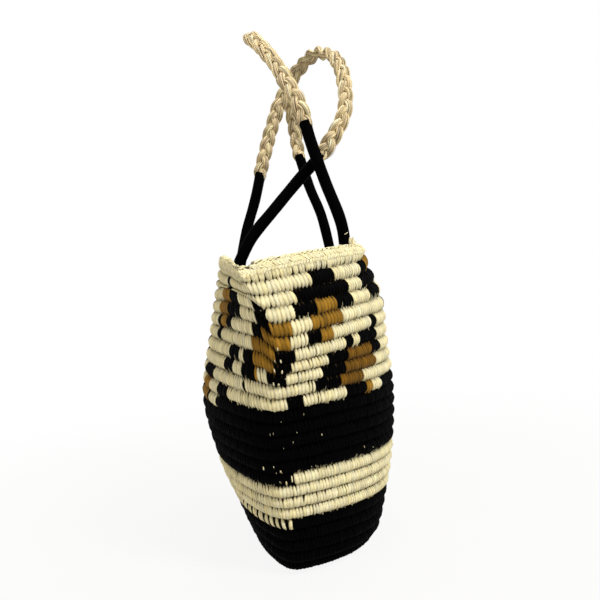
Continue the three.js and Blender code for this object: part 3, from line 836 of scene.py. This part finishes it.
def on_roll(table, reach, s, shift, lift, inside=False):
    place = np.interp(reach[:, None] + shift, *table)
    low, high = roll_lines(place)
    s = s(high - low) if callable(s) else s
    depth = WALL - roll_depth(s) + lift if inside else roll_depth(s) - lift
    return wall_point(low + (high - low) * s, SEAM - TURN * place, depth), s


# %% Stitches in pairs round the roll
def roll_stitches(start, end, inside):
    table = spiral_table(start, end, roll_lines)
    length = np.interp(end, table[1], table[0])
    pairs = round(length / PAIR_STEP)
    count = 2 * pairs
    pair, second = np.divmod(np.arange(count), 2)
    reach = (pair + 0.5) * length / pairs + (second - 0.5) * 2.6 + rng.normal(0, 0.2, count)
    half = 1.85 * (1 + rng.normal(0, 0.13, count))
    across, out, along = OUTER_LEAF[0].T
    bottom, top = -0.12 + rng.normal(0, 0.09, count), 1.0 + rng.normal(0, 0.02, count)
    s = bottom[:, None] + (top - bottom)[:, None] * (along + 1) / 2
    lean = 1.2 + rng.normal(0, 0.8, count) - course_skew(reach, table, roll_lines)
    shift = across * half[:, None] + lean[:, None] * (s - 0.5) + (0.5 - second[:, None]) * 0.9 * np.clip(0.4 - s, 0, 1)
    p, _ = on_roll(table, reach, s, shift, out * (0.75 + rng.normal(0, 0.08, count))[:, None], inside)
    uv = np.stack([shift + 7.3 * np.arange(count)[:, None], s * 13 + 0 * shift], axis=-1)
    # Painted shade: darker at the foot of the roll and at the stitch edges; outside, a painted shadow over the upper
    # half under the braid strips.
    shade = ((1 - 0.35 * np.clip(1 - 4 * s, 0, 1)) * (1 - 0.3 * np.abs(across) ** 3)
             * (1 - 0.62 * np.clip(5 * s - 2, 0, 1) * (not inside)))
    return cream_part(p, uv, shade)


def braid_row(middle, tilt, late, proud):
    """Slanted strips in a row on the upper half of the roll."""
    table = spiral_table(ROLL_START, ROLL_START + 1, roll_lines)
    length = np.interp(ROLL_START + 1, table[1], table[0])
    count = round(length / BRAID_STEP)
    reach = (np.arange(count) + 0.5 + late) * length / (count + 1) + rng.normal(0, 0.25, count)
    across, out, along = OUTER_LEAF[0].T
    a = np.radians(tilt + rng.normal(0, 10, count))[:, None]
    x, y = across * (1.2 + rng.normal(0, 0.2, count))[:, None], along * (2.9 + rng.normal(0, 0.4, count))[:, None]
    shift, up = x * np.cos(a) + y * np.sin(a), y * np.cos(a) - x * np.sin(a)
    p, s = on_roll(table, reach, lambda tall: np.clip(middle + up / (tall * PITCH_MM), -0.1, 1.0), shift,
                   proud - 0.12 * np.abs(along) ** 3 + 0.55 * out + rng.normal(0, 0.08, count)[:, None])
    uv = np.stack([x + 7.1 * np.arange(count)[:, None], y + 0 * x], axis=-1)
    # Painted shade: the strips darken towards their ends and edges.
    return cream_part(p, uv, (1 - 0.4 * np.abs(along) ** 4) * (1 - 0.25 * np.abs(across) ** 3))


table, reach = even_run(RIM_FOOT, ROLL_START, THIN_STEP, wall_lines)
kinds = chart(np.interp(reach, *table))
parts = plain_leaves(OUTER_LEAF, reach, kinds, (2.2, -0.06, 1.06, 0.7, 1), table, wall_lines)
parts += plain_leaves(INNER_LEAF, reach, kinds, (2.0, -0.04, 1.04, 0.6, -1), table, wall_lines, inside=True)
parts += [roll_stitches(ROLL_START, ROLL_START + 1, inside) for inside in (False, True)]
parts += [braid_row(*row) for row in ((0.58, -50, 0.3, 0.55), (0.78, 50, 0.0, 0.65), (0.95, -50, 0.6, 0.55))]
parts.append(core_part(core_tube(RIM_FOOT, ROLL_START, wall_lines), PAINTED_HOLE_SHADE))
parts.append(core_part(core_tube(ROLL_START, ROLL_START + 1, roll_lines), PAINTED_HOLE_SHADE))
surface("rim_courses", parts, "bag", ["rim_band"])


# %% [markdown]
# ## Loose ends
# Here and there a pale strip from beneath shows between two black stitches,
# most where the fold spreads them. A speck is one short leaf.

# %% Specks of pale raffia
SPECKS = [(22, 3.6, 0.15, 0.7, "c"), (20, 3.1, 0.0, 0.35, "c"), (19, 5.0, 0.0, 0.35, "c"), (19, 2.2, 0.1, 0.5, "c"),
          (18, 4.9, 0.3, 0.6, "c"), (18, 1.8, 0.2, 0.6, "c"), (17, 5.0, 0.1, 0.5, "c"), (17, 2.6, 0.2, 0.5, "c"),
          (16, 4.5, 0.0, 0.3, "b"), (9, 2.0, 0.2, 0.6, "c"), (10, 3.0, 0.3, 0.55, "c"),
          (9, 1.0, 0.4, 0.9, "c"), (10, 8.0, 0.4, 0.7, "c")]


def speck_parts():
    table = spiral_table(STRIPE_TOP, RIM_FOOT, wall_lines)
    spots = [(k + w / 100, low, high, kind) for k, w, low, high, kind in SPECKS]
    for k, w in zip(rng.integers(STRIPE_TOP, RIM_FOOT, 40), rng.normal(0, 5, 40)):
        if chart(np.array([k + w / 100]))[0] == "k":
            low = rng.uniform(0.1, 0.7)
            spots.append((k + w / 100, low, low + rng.uniform(0.12, 0.25), "c"))
    tau, low, high, kinds = (np.array(column) for column in zip(*spots))
    n = len(tau)
    hand_placed = np.arange(n) < len(SPECKS)
    half = np.where(hand_placed, 0.7, rng.uniform(0.15, 0.28, n))
    return leaves(OUTER_LEAF, np.interp(tau, table[1], table[0]), kinds, half, low, high,
                  np.full(n, 1.05), rng.normal(0, 0.6, n), table, wall_lines)


surface("pale_specks", speck_parts(), "bag")


# %% [markdown]
# ## The base
# The base starts as a flat oval coil. Its outermost turn stands on the ground
# and carries the wall, and the turns inside it close on a straight spine.

# %% Stitch the base
BASE_STITCH, BASE_TURNS, UNDERSIDE, TOPSIDE = 3.5, 4, 1.6, 7.9


def flat_ring(share, phi, z):
    ex, ey = spoke(0, phi)
    narrow = min(BACK_WIDTH[0], FRONT_WIDTH[0]) * share
    length = np.where(ex < 0, NEAR_LENGTH[0], FAR_LENGTH[0]) - narrow
    width = np.where(ey > 0, BACK_WIDTH[0], FRONT_WIDTH[0]) * (1 - share)
    return np.stack([ex * length, FOLD_OFFSET[0] + ey * width, z + 0 * ex], axis=-1) + SHIFT


def ring_stitches(shape, inner, outer, z, lift):
    phi = np.linspace(0, TURN, 721)
    line = flat_ring((inner + outer) / 2, phi, z)
    run = run_along(line)
    count = round(run[-1] / BASE_STITCH)
    reach = (np.arange(count) + 0.5) * run[-1] / count
    points = shape[0]
    at = (reach[:, None] + points[:, 0] * BASE_STITCH * 0.52) % run[-1]
    place = np.interp(at, run, phi)
    share = outer + (inner - outer) * (points[:, 2] * 1.1 + 1) / 2
    p = flat_ring(np.broadcast_to(share, place.shape), place, 0)
    p[..., 2] = z + lift * (0.4 * np.sqrt(np.maximum(1 - points[:, 2] ** 2, 0)) + 0.3 * points[:, 1])
    uv = np.stack([at + 7.3 * np.arange(count)[:, None], 11 * points[:, 2] + 0 * at], axis=-1)
    quads, tris = copies(shape, count)
    if lift < 0:
        quads, tris = quads[:, ::-1], tris[:, ::-1]
    return p.reshape(-1, 3), quads, tris, uv.reshape(-1, 2), count


def base_coil():
    parts = []
    for k in range(BASE_TURNS):
        outer, inner = (0.06 + 0.9 * turn / BASE_TURNS for turn in (k, k + 1))
        for z, lift in ((TOPSIDE, 1.9), (UNDERSIDE, -1.9)):
            p, q, t, uv, count = ring_stitches(INNER_LEAF, inner, outer, z, lift)
            parts.append((p, q, t, uv, np.repeat(dyed(["k"] * count), len(INNER_LEAF[0]), axis=0), black_raffia))
    phi = np.linspace(0, TURN, 161)[:-1]
    section = ((0.96, UNDERSIDE), (0.5, 1.5), (0.05, 1.5), (0.05, TOPSIDE), (0.5, 8.0), (0.96, TOPSIDE))
    rings = [flat_ring(share, phi, z) for share, z in section]
    parts.append(core_part(tube_faces(np.array(rings)), BLACK))
    return parts


table, reach = even_run(0, 1, BASE_STITCH, ground_lines)
kinds = np.full(len(reach), "k")
parts = base_coil()
parts += plain_leaves(OUTER_LEAF, reach, kinds, (2.0, -0.02, 1.1, 0.6, 0.9), table, ground_lines)
parts += plain_leaves(INNER_LEAF, reach, kinds, (1.8, 0.2, 1, 0.6, 0.9), table, ground_lines, inside=True)
parts.append(core_part(core_tube(0, 1, ground_lines), BLACK))
surface("base_coils", parts, "bag", ["base_coil"])


# %% [markdown]
# ## The chained edge
# Along the mouth the last course is closed with chain stitch: four rows of
# short slanted loops round the edge, and each two neighbours meet in a V. A
# loop is two strips, each the same leaf as before, laid across the edge.

# %% Chain along the mouth
CHAIN_STEP, CHAIN_UP, CHAIN_ROUND = 5.4, 2.2, 2.9
EDGE_START, EDGE_END = 0.004, 0.997


def edge_frame(u):
    level, phi = mouth_level(u), SEAM - TURN * u
    outside, inside = wall_point(level, phi, VALLEY), wall_point(level, phi, WALL)
    middle = outside + 0.4 * (inside - outside)
    out = outside - inside
    return middle, unit(out)


def chain_row(angle, slant, late, down=0.0, outer=0.0):
    """Slanted loops of two strips each, in a row at an angle round the edge."""
    n = 2 * count
    loop, strip = np.divmod(np.arange(n), 2)
    at = (loop + 0.5 + late) * run[-1] / (count + 1) + (strip - 0.5) * 1.7 + rng.normal(0, 0.3, n)
    across, out, along = OUTER_LEAF[0].T
    turned = np.radians(angle + rng.normal(0, 5, n)[:, None] + 36 * along)
    swell = 1 + 0.10 * rng.normal(size=n)[:, None]
    u = np.interp(at[:, None] + across * 1.2 * swell + along * 2.5 * slant, run, u_table)
    m, o = edge_frame(u)
    radius = CHAIN_ROUND + outer + rng.normal(0, 0.2, n)[:, None] + 0.8 * out
    p = m + o * (1.15 * radius * np.cos(turned))[..., None]
    p[..., 2] += CHAIN_UP - down - edge_dip(u) + 0.85 * radius * np.sin(turned)
    uv = np.stack([across * 1.2 + 7.1 * np.arange(n)[:, None], 3 * along + 0 * turned], axis=-1)
    # Painted shade: each strip darkens towards its ends.
    return cream_part(p, uv, 1 - 0.45 * np.abs(along) ** 4)


u_table = np.linspace(EDGE_START, EDGE_END, 1200)
run = run_along(edge_frame(u_table)[0])
count = round(run[-1] / CHAIN_STEP)
parts = [chain_row(*row) for row in ((-4, 1, 0, 0.2, 0.2), (46, -1, 0.5), (96, 1, 0.2), (150, -1, 0.7))]
u = np.linspace(EDGE_START, EDGE_END, 260)
m, o = edge_frame(u)
a = np.linspace(0, TURN, 8, endpoint=False)
p = m[:, None] + o[:, None] * (2.7 * np.cos(a))[None, :, None]
p[..., 2] += (CHAIN_UP - 0.3 - edge_dip(u))[:, None] + 2.0 * np.sin(a)
# The core is cream darkened to a fifth: painted shade between the chain loops.
parts.append(core_part(tube_faces(p), 0.2 * CREAM))
surface("edge_chain", parts, "bag", ["rim_chain"])


# %% [markdown]
# ## The handles' path
# Each handle is one arch over the mouth. Its route runs through a few points
# above the line between its two bends: a share of half the spread, a distance
# in from its own wall, and a height. The curve through them is the same one
# the solids use.

# %% Route of a handle
BACK_ROUTE = [
    [-1, 0, 0], [-1, 14, 24], [-1, 37, 49], [-1, 61, 74], [-0.98, 84, 97], [-0.88, 105, 129],
    [-0.7, 109, 154], [-0.4, 108, 178], [0, 102, 196], [0.4, 89, 202], [0.76, 74, 194],
    [0.94, 56, 170], [0.99, 42, 138], [1, 31, 105], [1, 21, 70], [1, 9, 36], [1, 0, 0]]
FRONT_ROUTE = [
    [-1, 0, 0], [-1, 2, 30], [-1, 14, 69], [-1, 24, 104], [-0.99, 30, 130], [-0.92, 36, 147],
    [-0.72, 48, 175], [-0.4, 61, 200], [0, 69, 216], [0.4, 62, 219], [0.75, 46, 206],
    [0.97, 35, 178], [1.05, 31, 151], [1.05, 28, 119], [1.03, 19, 81], [1.01, 9, 51], [1, 0, 0]]
WRAP_RADIUS, REACH, RISE, PERIOD = 5.3, 4.45, 3.35, 40
HANDLES = {"back": (1, 88, BACK_ROUTE, (125, 100)), "front": (-1, 117.6, FRONT_ROUTE, (125, 119))}


def smooth_route(points, per_span=240):
    ends = np.vstack([2 * points[0] - points[1], points, 2 * points[-1] - points[-2]])
    t = np.linspace(0, 1, per_span, endpoint=False)[:, None]
    spans = []
    for i in range(len(points) - 1):
        p0, p1, p2, p3 = ends[i:i + 4]
        d0, d1, d2 = (math.sqrt(np.linalg.norm(b - a)) for a, b in ((p0, p1), (p1, p2), (p2, p3)))
        t1 = ((p1 - p0) / d0 - (p2 - p0) / (d0 + d1) + (p2 - p1) / d1) * d1
        t2 = ((p2 - p1) / d1 - (p3 - p1) / (d1 + d2) + (p3 - p2) / d2) * d1
        spans.append(p1 + t1 * t + (3 * (p2 - p1) - 2 * t1 - t2) * t ** 2 + (2 * (p1 - p2) + t1 + t2) * t ** 3)
    return np.vstack(spans + [points[-1:]])


class Arch:
    """A handle's curve, with a frame that keeps to the arch's own plane."""

    def __init__(self, name):
        side, spread, route, self.bound = HANDLES[name]
        self.body = f"{name}_handle"
        joint = next(j for j in frame["joints"] if j["name"] == f"{name}_handle_lean")
        axis = np.array(joint["axis"], float)
        self.near = np.array(joint["pos_m"], float) * 1000
        self.far = self.near + axis * spread / axis[0]
        points = np.array([self.near + (self.far - self.near) * (share + 1) / 2 + [0, -side * across, up]
                           for share, across, up in route])
        self.line = smooth_route(points)
        self.run = run_along(self.line)
        self.length = self.run[-1]
        top = self.at(self.length / 2) - self.near
        self.cross = unit(np.cross(top, self.far - self.near))

    def at(self, reach):
        return point_at(reach, self.run, self.line)

    def frame(self, reach):
        ahead = unit(self.at(np.minimum(reach + 0.4, self.length)) - self.at(np.maximum(reach - 0.4, 0)))
        side = unit(self.cross - (ahead @ self.cross)[..., None] * ahead)
        return self.at(reach), ahead, side, np.cross(ahead, side)


arches = {name: Arch(name) for name in HANDLES}
print("handle lengths in mm:", {name: round(arch.length) for name, arch in arches.items()})

# %% [markdown]
# ## The plait
# Three bundles of straw cross over each other in turn. A bundle swings from
# side to side while it passes over and under. It is made of fibres that lie
# side by side round a flat oval, and a few of them stand off as loose hairs.

# %% One bundle of straw
STRAND_WIDE, STRAND_THICK, FIBRES, LOOSE = 2.85, 1.85, 17, 3


def bundle(middle, across, out, reach, swell):
    """A heart darkened as painted shade, with fibres round it; returns a list of parts."""

    def tube(angle, share, thick, sides, tone):
        centre = (middle + across * (STRAND_WIDE * swell * share * np.cos(angle))[:, None]
                  + out * (STRAND_THICK * swell * share * np.sin(angle))[:, None])
        a = np.linspace(0, TURN, sides, endpoint=False)
        wide, high = thick if isinstance(thick, tuple) else (thick, thick)
        p = (centre[:, None] + across[:, None] * (wide * np.cos(a))[..., None]
             + out[:, None] * (high * np.sin(a))[..., None])
        flat, quads, tris = tube_faces(p)
        uv = np.stack([np.tile(a * 0.9, len(reach)) + 13 * rng.random(), np.repeat(reach, sides)], axis=-1)
        uv = np.vstack([uv, uv[:1], uv[-1:]])
        drift = 1 + 0.10 * np.sin(reach / 9 + 6 * rng.random())
        colour = np.concatenate([np.repeat(drift, sides), [1, 1]])[:, None] * tone
        return flat, quads, tris, uv, colour, straw

    heart = (STRAND_WIDE * swell[:, None] * 0.8 * np.ones(10), STRAND_THICK * swell[:, None] * 0.8 * np.ones(10))
    # The heart is straw darkened to 0.22: painted shade between the fibres.
    parts = [tube(0 * reach, 0, heart, 10, 0.22 * STRAW)]
    for j in range(FIBRES):
        angle = (TURN * (j + 0.3 * rng.random()) / FIBRES
                 + 0.28 * np.sin(reach / rng.uniform(14, 26) + TURN * rng.random()))
        share = 0.86 + 0.10 * rng.random() + 0.05 * np.sin(reach / 8 + TURN * rng.random())
        tone = STRAW * (1 + 0.24 * rng.normal()) * np.array([1, 1 + 0.02 * rng.normal(), 1 + 0.06 * rng.normal()])
        parts.append(tube(angle, share, rng.uniform(0.44, 0.74), 5, np.clip(tone, 0.1, 0.95)))
    for j in range(LOOSE):
        angle = TURN * rng.random() + 0.6 * np.sin(reach / 11 + TURN * rng.random())
        share = 1.05 + 0.30 * np.maximum(np.sin(reach / rng.uniform(6, 11) + TURN * rng.random()), 0) ** 4
        parts.append(tube(angle, share, 0.22, 4, STRAW * 1.1))
    return parts


# %% Plait the bundles
def strand(name, arch, number):
    start, finish = arch.bound[0] + CLEAR, arch.length - arch.bound[1] - CLEAR
    periods = round((finish - start) / PERIOD)
    count, extra = periods * 34, 6
    share = np.linspace(-extra / count, 1 + extra / count, count + 2 * extra + 1)
    reach = start + (finish - start) * share
    at, ahead, side, face = arch.frame(reach)
    inside = np.clip(np.minimum(share, 1 - share) * count / extra + 1, 0, 1)
    turn = TURN * (share * periods + number / 3)
    sway = side * (REACH * 0.9 * (0.55 + 0.45 * inside) * np.cos(turn))[:, None]
    middle = at + sway + face * (RISE * 0.83 * (0.6 + 0.4 * inside) * np.sin(2 * turn))[:, None]
    along = unit(np.gradient(middle, axis=0))
    across = unit(side - (side * along).sum(1, keepdims=True) * along)
    swell = (1 + 0.07 * np.sin(reach / 5.3 + number) + 0.05 * np.sin(reach / 17)) * (0.8 + 0.2 * inside)
    parts = bundle(middle, across, np.cross(along, across), reach, swell)
    surface(f"{name}_strand_{number + 1}", parts, f"{name}_handle", [f"{name}_plait_strand_{number + 1}"])


for name, arch in arches.items():
    for number in range(3):
        strand(name, arch, number)


# %% [markdown]
# ## The bound legs
# Below the plait each leg is whipped with black thread down to the wall and
# sewn inside it. The windings are laid as one ridged tube that follows the leg
# from the plait down into the wall.

# %% Where the sewn ends lie
HINGE_DROP, SEWN_LENGTH, STANDOFF = 8, 42, 1.2 + 2.6 * CLEAR + 0.6 + 5.3


def inward_normal(level, phi):
    around = solid_point(level, phi + 0.02, WALL) - solid_point(level, phi - 0.02, WALL)
    upward = solid_point(level + 0.3, phi, WALL) - solid_point(level - 0.3, phi, WALL)
    normal = unit(np.cross(around, upward))
    return -normal if normal[1] * math.sin(phi) > 0 else normal


def leg_point(side, end, spread, down):
    level = MOUTH - down / PITCH_MM

    def place(turn):
        phi = side * (math.pi - turn if end < 0 else turn)
        return solid_point(level, phi, WALL) + inward_normal(level, phi) * STANDOFF

    low, high = 0.3, math.pi / 2
    for _ in range(30):
        middle = (low + high) / 2
        if abs(place(middle)[0] - SHIFT[0]) > spread / 2:
            low = middle
        else:
            high = middle
    return place((low + high) / 2)


check = leg_point(1, -1, 88, HINGE_DROP)
print("back near bend is", np.linalg.norm(check - arches["back"].near).round(2), "mm from its hinge")

# %% Wind the thread
THREAD_PITCH = 1.15


def whipped(path, radius, sides=20, rows=3):
    """A tube of touching windings along a path in mm."""
    run = run_along(path)
    count = int(run[-1] / THREAD_PITCH) * rows
    reach = np.linspace(0, run[-1], count + 1)
    at = point_at(reach, run, path)
    soft = np.exp(-0.5 * (np.arange(-12, 13) / 5.0) ** 2)
    padded = [np.pad(at[:, i], 12, mode="reflect", reflect_type="odd") for i in range(3)]
    smooth = np.stack([np.convolve(line, soft / soft.sum(), "valid") for line in padded], axis=-1)
    ahead = unit(np.gradient(smooth, axis=0))
    side = unit(np.cross(ahead, [0.0, 1.0, 0.0]))
    face = np.cross(ahead, side)
    a = np.linspace(0, TURN, sides, endpoint=False)
    swell = 0.12 * np.sin(reach / 11) + 0.1 * np.sin(reach / 4.3 + 1)
    wave = 0.22 * np.abs(np.sin(math.pi * (reach[:, None] / THREAD_PITCH - a / TURN)))
    r = radius - 0.2 + wave + swell[:, None] * 0.5
    ring = side[:, None] * np.cos(a)[None, :, None] + face[:, None] * np.sin(a)[None, :, None]
    p = at[:, None] + ring * r[..., None]
    flat, quads, tris = tube_faces(p)
    uv = np.stack([np.broadcast_to(reach[:, None], r.shape), np.broadcast_to(a * 5.3, r.shape)], axis=-1).reshape(-1, 2)
    return flat, quads, tris, np.vstack([uv, uv[:1], uv[-1:]])


def leg(name, arch, end):
    side, spread, _, bound = HANDLES[name]
    place, length = ("near", bound[0]) if end < 0 else ("far", bound[1])
    reach = np.linspace(length, 0, 60)
    upper = arch.at(reach if end < 0 else arch.length - reach)
    lower = np.array([leg_point(side, end, spread, HINGE_DROP + d) for d in np.linspace(3, 5.6 + SEWN_LENGTH, 12)])
    path = smooth_route(np.vstack([upper[:-2:3], lower]), 8)
    flat, quads, tris, uv = whipped(path, WRAP_RADIUS)
    parts = [(flat, quads, tris, uv, np.tile(BLACK, (len(flat), 1)), thread)]
    replaced = [f"{name}_{place}_wrap", f"{name}_{place}_sewn_end"]
    obj = surface(f"{name}_{place}_whipping", parts, None, replaced)
    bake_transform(obj)
    return lower


sewn = {}
for name, arch in arches.items():
    for end in (-1, 1):
        sewn[name, end] = leg(name, arch, end)

# %% [markdown]
# ## Lashings
# Each sewn end is tied to the wall by a few turns of the same thread. A turn
# is a torus, shaped once, and copied along the leg.

# %% Tie the lashings
TIE_RADIUS, TIE_TURNS, TIE_STEP = 6.4, 4, 1.22
bpy.ops.mesh.primitive_torus_add(major_radius=TIE_RADIUS, minor_radius=0.62, major_segments=24, minor_segments=8)
TIE = read_shape(bpy.context.object)


def lashing(name, place, number, lower, share):
    run = run_along(lower)
    parts, points = [], TIE[0]
    for turn in range(TIE_TURNS):
        reach = share * SEWN_LENGTH + 3.5 + (turn - 1.5) * TIE_STEP
        at = point_at(reach, run, lower)
        ahead = unit(point_at(reach + 1, run, lower) - at)
        side = unit(np.cross(ahead, [1, 0, 0]))
        face = np.cross(ahead, side)
        p = at + points[:, :1] * side + points[:, 1:2] * face + points[:, 2:] * ahead
        angle = np.arctan2(points[:, 1], points[:, 0])
        uv = np.stack([points[:, 2] + 9 * turn, TIE_RADIUS * angle], axis=-1)
        parts.append((p, TIE[1], TIE[2], uv, np.tile(1.6 * BLACK, (len(p), 1)), thread))
    surface(f"{name}_{place}_tie_{number}", parts, "bag", [f"{name}_{place}_lashing_{number}"])


for (name, end), lower in sewn.items():
    for number, share in ((1, 0.2), (2, 0.75)):
        lashing(name, "near" if end < 0 else "far", number, lower, share)

# %% [markdown]
# ## The tuft
# The raffia that is left over at the mouth is cut off just beside the edge.
# It is a little brush of fibres that stands up from the chain, and a few fibres
# lie along it. Two stitches of the same pale strip show on the black legs.

# %% Brush of cut ends
tuft_low, tuft_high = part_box("rim_tuft")
print("tuft box in mm:", (np.array(tuft_low) * 1000).round(1), (np.array(tuft_high) * 1000).round(1))
TUFT_TURN = 0.862
foot = wall_point(mouth_level(TUFT_TURN), SEAM - TURN * TUFT_TURN, 4.4)
foot = foot + [0, 0, CHAIN_UP + 1.2 - float(edge_dip(TUFT_TURN))]
print("tuft foot in mm:", foot.round(1))


def fibre(line, thick):
    a = np.linspace(0, TURN, 5, endpoint=False)
    r = thick * (1 - 0.45 * np.linspace(0, 1, len(line)) ** 2)
    p = line[:, None] + np.stack([0 * a, np.cos(a), np.sin(a)], -1)[None] * r[:, None, None]
    flat, q, tr = tube_faces(p)
    uv = np.stack([flat[:, 1] + 5 * rng.random(), flat[:, 0]], -1)
    return flat, q, tr, uv, np.tile(dyed(["c"])[0], (len(flat), 1)), raffia


parts, t = [], np.linspace(0, 1, 7)[:, None]
for _ in range(30):
    root = foot + [rng.normal(0, 1.3), rng.normal(0, 1.1), rng.normal(-1.2, 0.5)]
    tip = foot + [rng.normal(1, 1.5), rng.normal(-0.3, 1.5), rng.uniform(3.0, 8.0)]
    bend = (root + tip) / 2 + rng.normal(0, 1.1, 3)
    parts.append(fibre(root * (1 - t) ** 2 + bend * 2 * t * (1 - t) + tip * t ** 2, 0.85))
for _ in range(12):
    u = TUFT_TURN - np.linspace(-0.002, rng.uniform(0.012, 0.021), 9)
    tail = wall_point(mouth_level(u), SEAM - TURN * u, 3.6 + rng.normal(0, 1.0))
    tail[:, 2] += CHAIN_UP + 2.2 - edge_dip(u) + rng.uniform(0, 1.6) * np.linspace(0.3, 1, 9)
    parts.append(fibre(tail, 0.8))
surface("cut_tuft", parts, "bag", ["rim_tuft"])


# %% Pale stitches on the legs
def pale_stitch(name, arch, reach, slope, around, where):
    """A short strip that lies round the near side of a leg."""
    at, ahead, _, _ = arch.frame(np.array([reach]))
    at, ahead = at[0], ahead[0]
    toward = unit(np.array([-1.0, 0, 0]) - ahead * -ahead[0])
    side = np.cross(ahead, toward)
    a = np.radians(np.linspace(where - around, where + around, 9))[:, None]
    ring = (WRAP_RADIUS + 0.25) * (toward * np.cos(a) + side * np.sin(a))
    line = at + ring + ahead * slope * (a - math.radians(where))
    b = np.linspace(0, TURN, 6, endpoint=False)
    r = 0.34 * np.sqrt(np.maximum(1 - np.linspace(-1, 1, 9) ** 6, 0.04))
    outward = (line - at)[:, None] / WRAP_RADIUS
    p = (line[:, None] + ahead * (np.cos(b) * r[:, None])[..., None]
         + outward * (0.6 * np.sin(b) * r[:, None])[..., None])
    flat, q, t = tube_faces(p)
    surface(name, [(flat, q, t, flat[:, :2], np.tile(CREAM, (len(flat), 1)), raffia)], arch.body)


pale_stitch("pale_stitch_back", arches["back"], 117.5, 0.4, 24, 8)
pale_stitch("pale_stitch_front", arches["front"], 22, 2.4, 20, 18)

# %% [markdown]
# ## Straw inside the legs
# The plait's straw runs on inside the whipping. Those cores are the solids as
# they are, and only take the straw finish.

# %% Dress the cores
for name, node in nodes.items():
    if name.endswith("_core"):
        mesh = node.data
        mesh.materials.clear()
        mesh.materials.append(straw)
        print(name, "wears", straw.name)

# %% [markdown]
# ## Floor and light
# The photograph has a plain white ground. The floor is a wide white sheet that
# only keeps the soft shadow of the bag, and to the camera it glows as brightly
# as the white behind it. The light is soft, from the front wall's side.

# %% What the camera and reflections see
def seen_directly(tree):
    """1 for the rays that see the bright ground itself, 0 for the light it gives."""
    seen = tree.nodes.new("ShaderNodeLightPath")
    bent = math_node(tree, "MAXIMUM", seen.outputs["Is Glossy Ray"], seen.outputs["Is Transmission Ray"])
    return math_node(tree, "MAXIMUM", seen.outputs["Is Camera Ray"], bent)


def mix_shaders(tree, amount, first, second, target):
    mix = tree.nodes.new("ShaderNodeMixShader")
    for source, socket in zip((amount, first.outputs[0], second.outputs[0]), mix.inputs):
        wire(tree, source, socket)
    wire(tree, mix.outputs[0], target)


print("two shaders are mixed by the kind of ray")

# %% The floor
bpy.ops.mesh.primitive_plane_add(size=12, location=(0, 0, -0.0005))
floor = bpy.context.object
floor.name = "floor"
sheet = bpy.data.materials.new("white_ground")
sheet.use_nodes = True
tree = sheet.node_tree
tree.nodes.clear()
out = tree.nodes.new("ShaderNodeOutputMaterial")
matt = tree.nodes.new("ShaderNodeBsdfDiffuse")
glow = tree.nodes.new("ShaderNodeEmission")
glow.inputs["Color"].default_value = (1, 1, 1, 1)
matt.inputs["Color"].default_value = (0.55, 0.54, 0.52, 1)
spot = tree.nodes.new("ShaderNodeTexCoord")
far = tree.nodes.new("ShaderNodeVectorMath")
far.operation = "LENGTH"
wire(tree, spot.outputs["Object"], far.inputs[0])
fade = tree.nodes.new("ShaderNodeMapRange")
fade.inputs["From Min"].default_value, fade.inputs["From Max"].default_value = 0.16, 0.75
fade.inputs["To Min"].default_value, fade.inputs["To Max"].default_value = 0.9, 1.0
wire(tree, far.outputs["Value"], fade.inputs["Value"])
amount = math_node(tree, "MULTIPLY", seen_directly(tree), fade.outputs[0])
mix_shaders(tree, amount, matt, glow, out.inputs["Surface"])
floor.data.materials.append(sheet)
print("floor:", floor.dimensions.x, "m wide")

# %% The world and the lamps
world = bpy.data.worlds.new("studio")
bpy.context.scene.world = world
world.use_nodes = True
tree = world.node_tree
background = tree.nodes["Background"]
white = tree.nodes.new("ShaderNodeBackground")
white.inputs["Color"].default_value = (1, 1, 1, 1)
white.inputs["Strength"].default_value = 1.0
background.inputs["Color"].default_value = (1.0, 0.92, 0.78, 1)
background.inputs["Strength"].default_value = 0.40
mix_shaders(tree, seen_directly(tree), background, white, tree.nodes["World Output"].inputs["Surface"])


def lamp(name, at, power, size, colour=(1, 1, 1)):
    bpy.ops.object.light_add(type="AREA", location=at)
    obj = bpy.context.object
    obj.name = name
    obj.data.energy, obj.data.size, obj.data.color = power, size, colour
    obj.rotation_euler = (Vector((0, 0, 0.22)) - Vector(at)).to_track_quat("-Z", "Y").to_euler()


lamp("key", (-1.3, -1.1, 1.7), 43, 0.5, (1.0, 0.98, 0.95))
lamp("fill", (-1.3, 1.3, 0.9), 9, 0.9, (1.0, 0.94, 0.86))
lamp("top", (0.3, -0.2, 2.2), 16, 1.0)
bpy.context.scene.view_settings.view_transform = "Standard"

# %% Finish
bpy.ops.object.select_all(action="DESELECT")
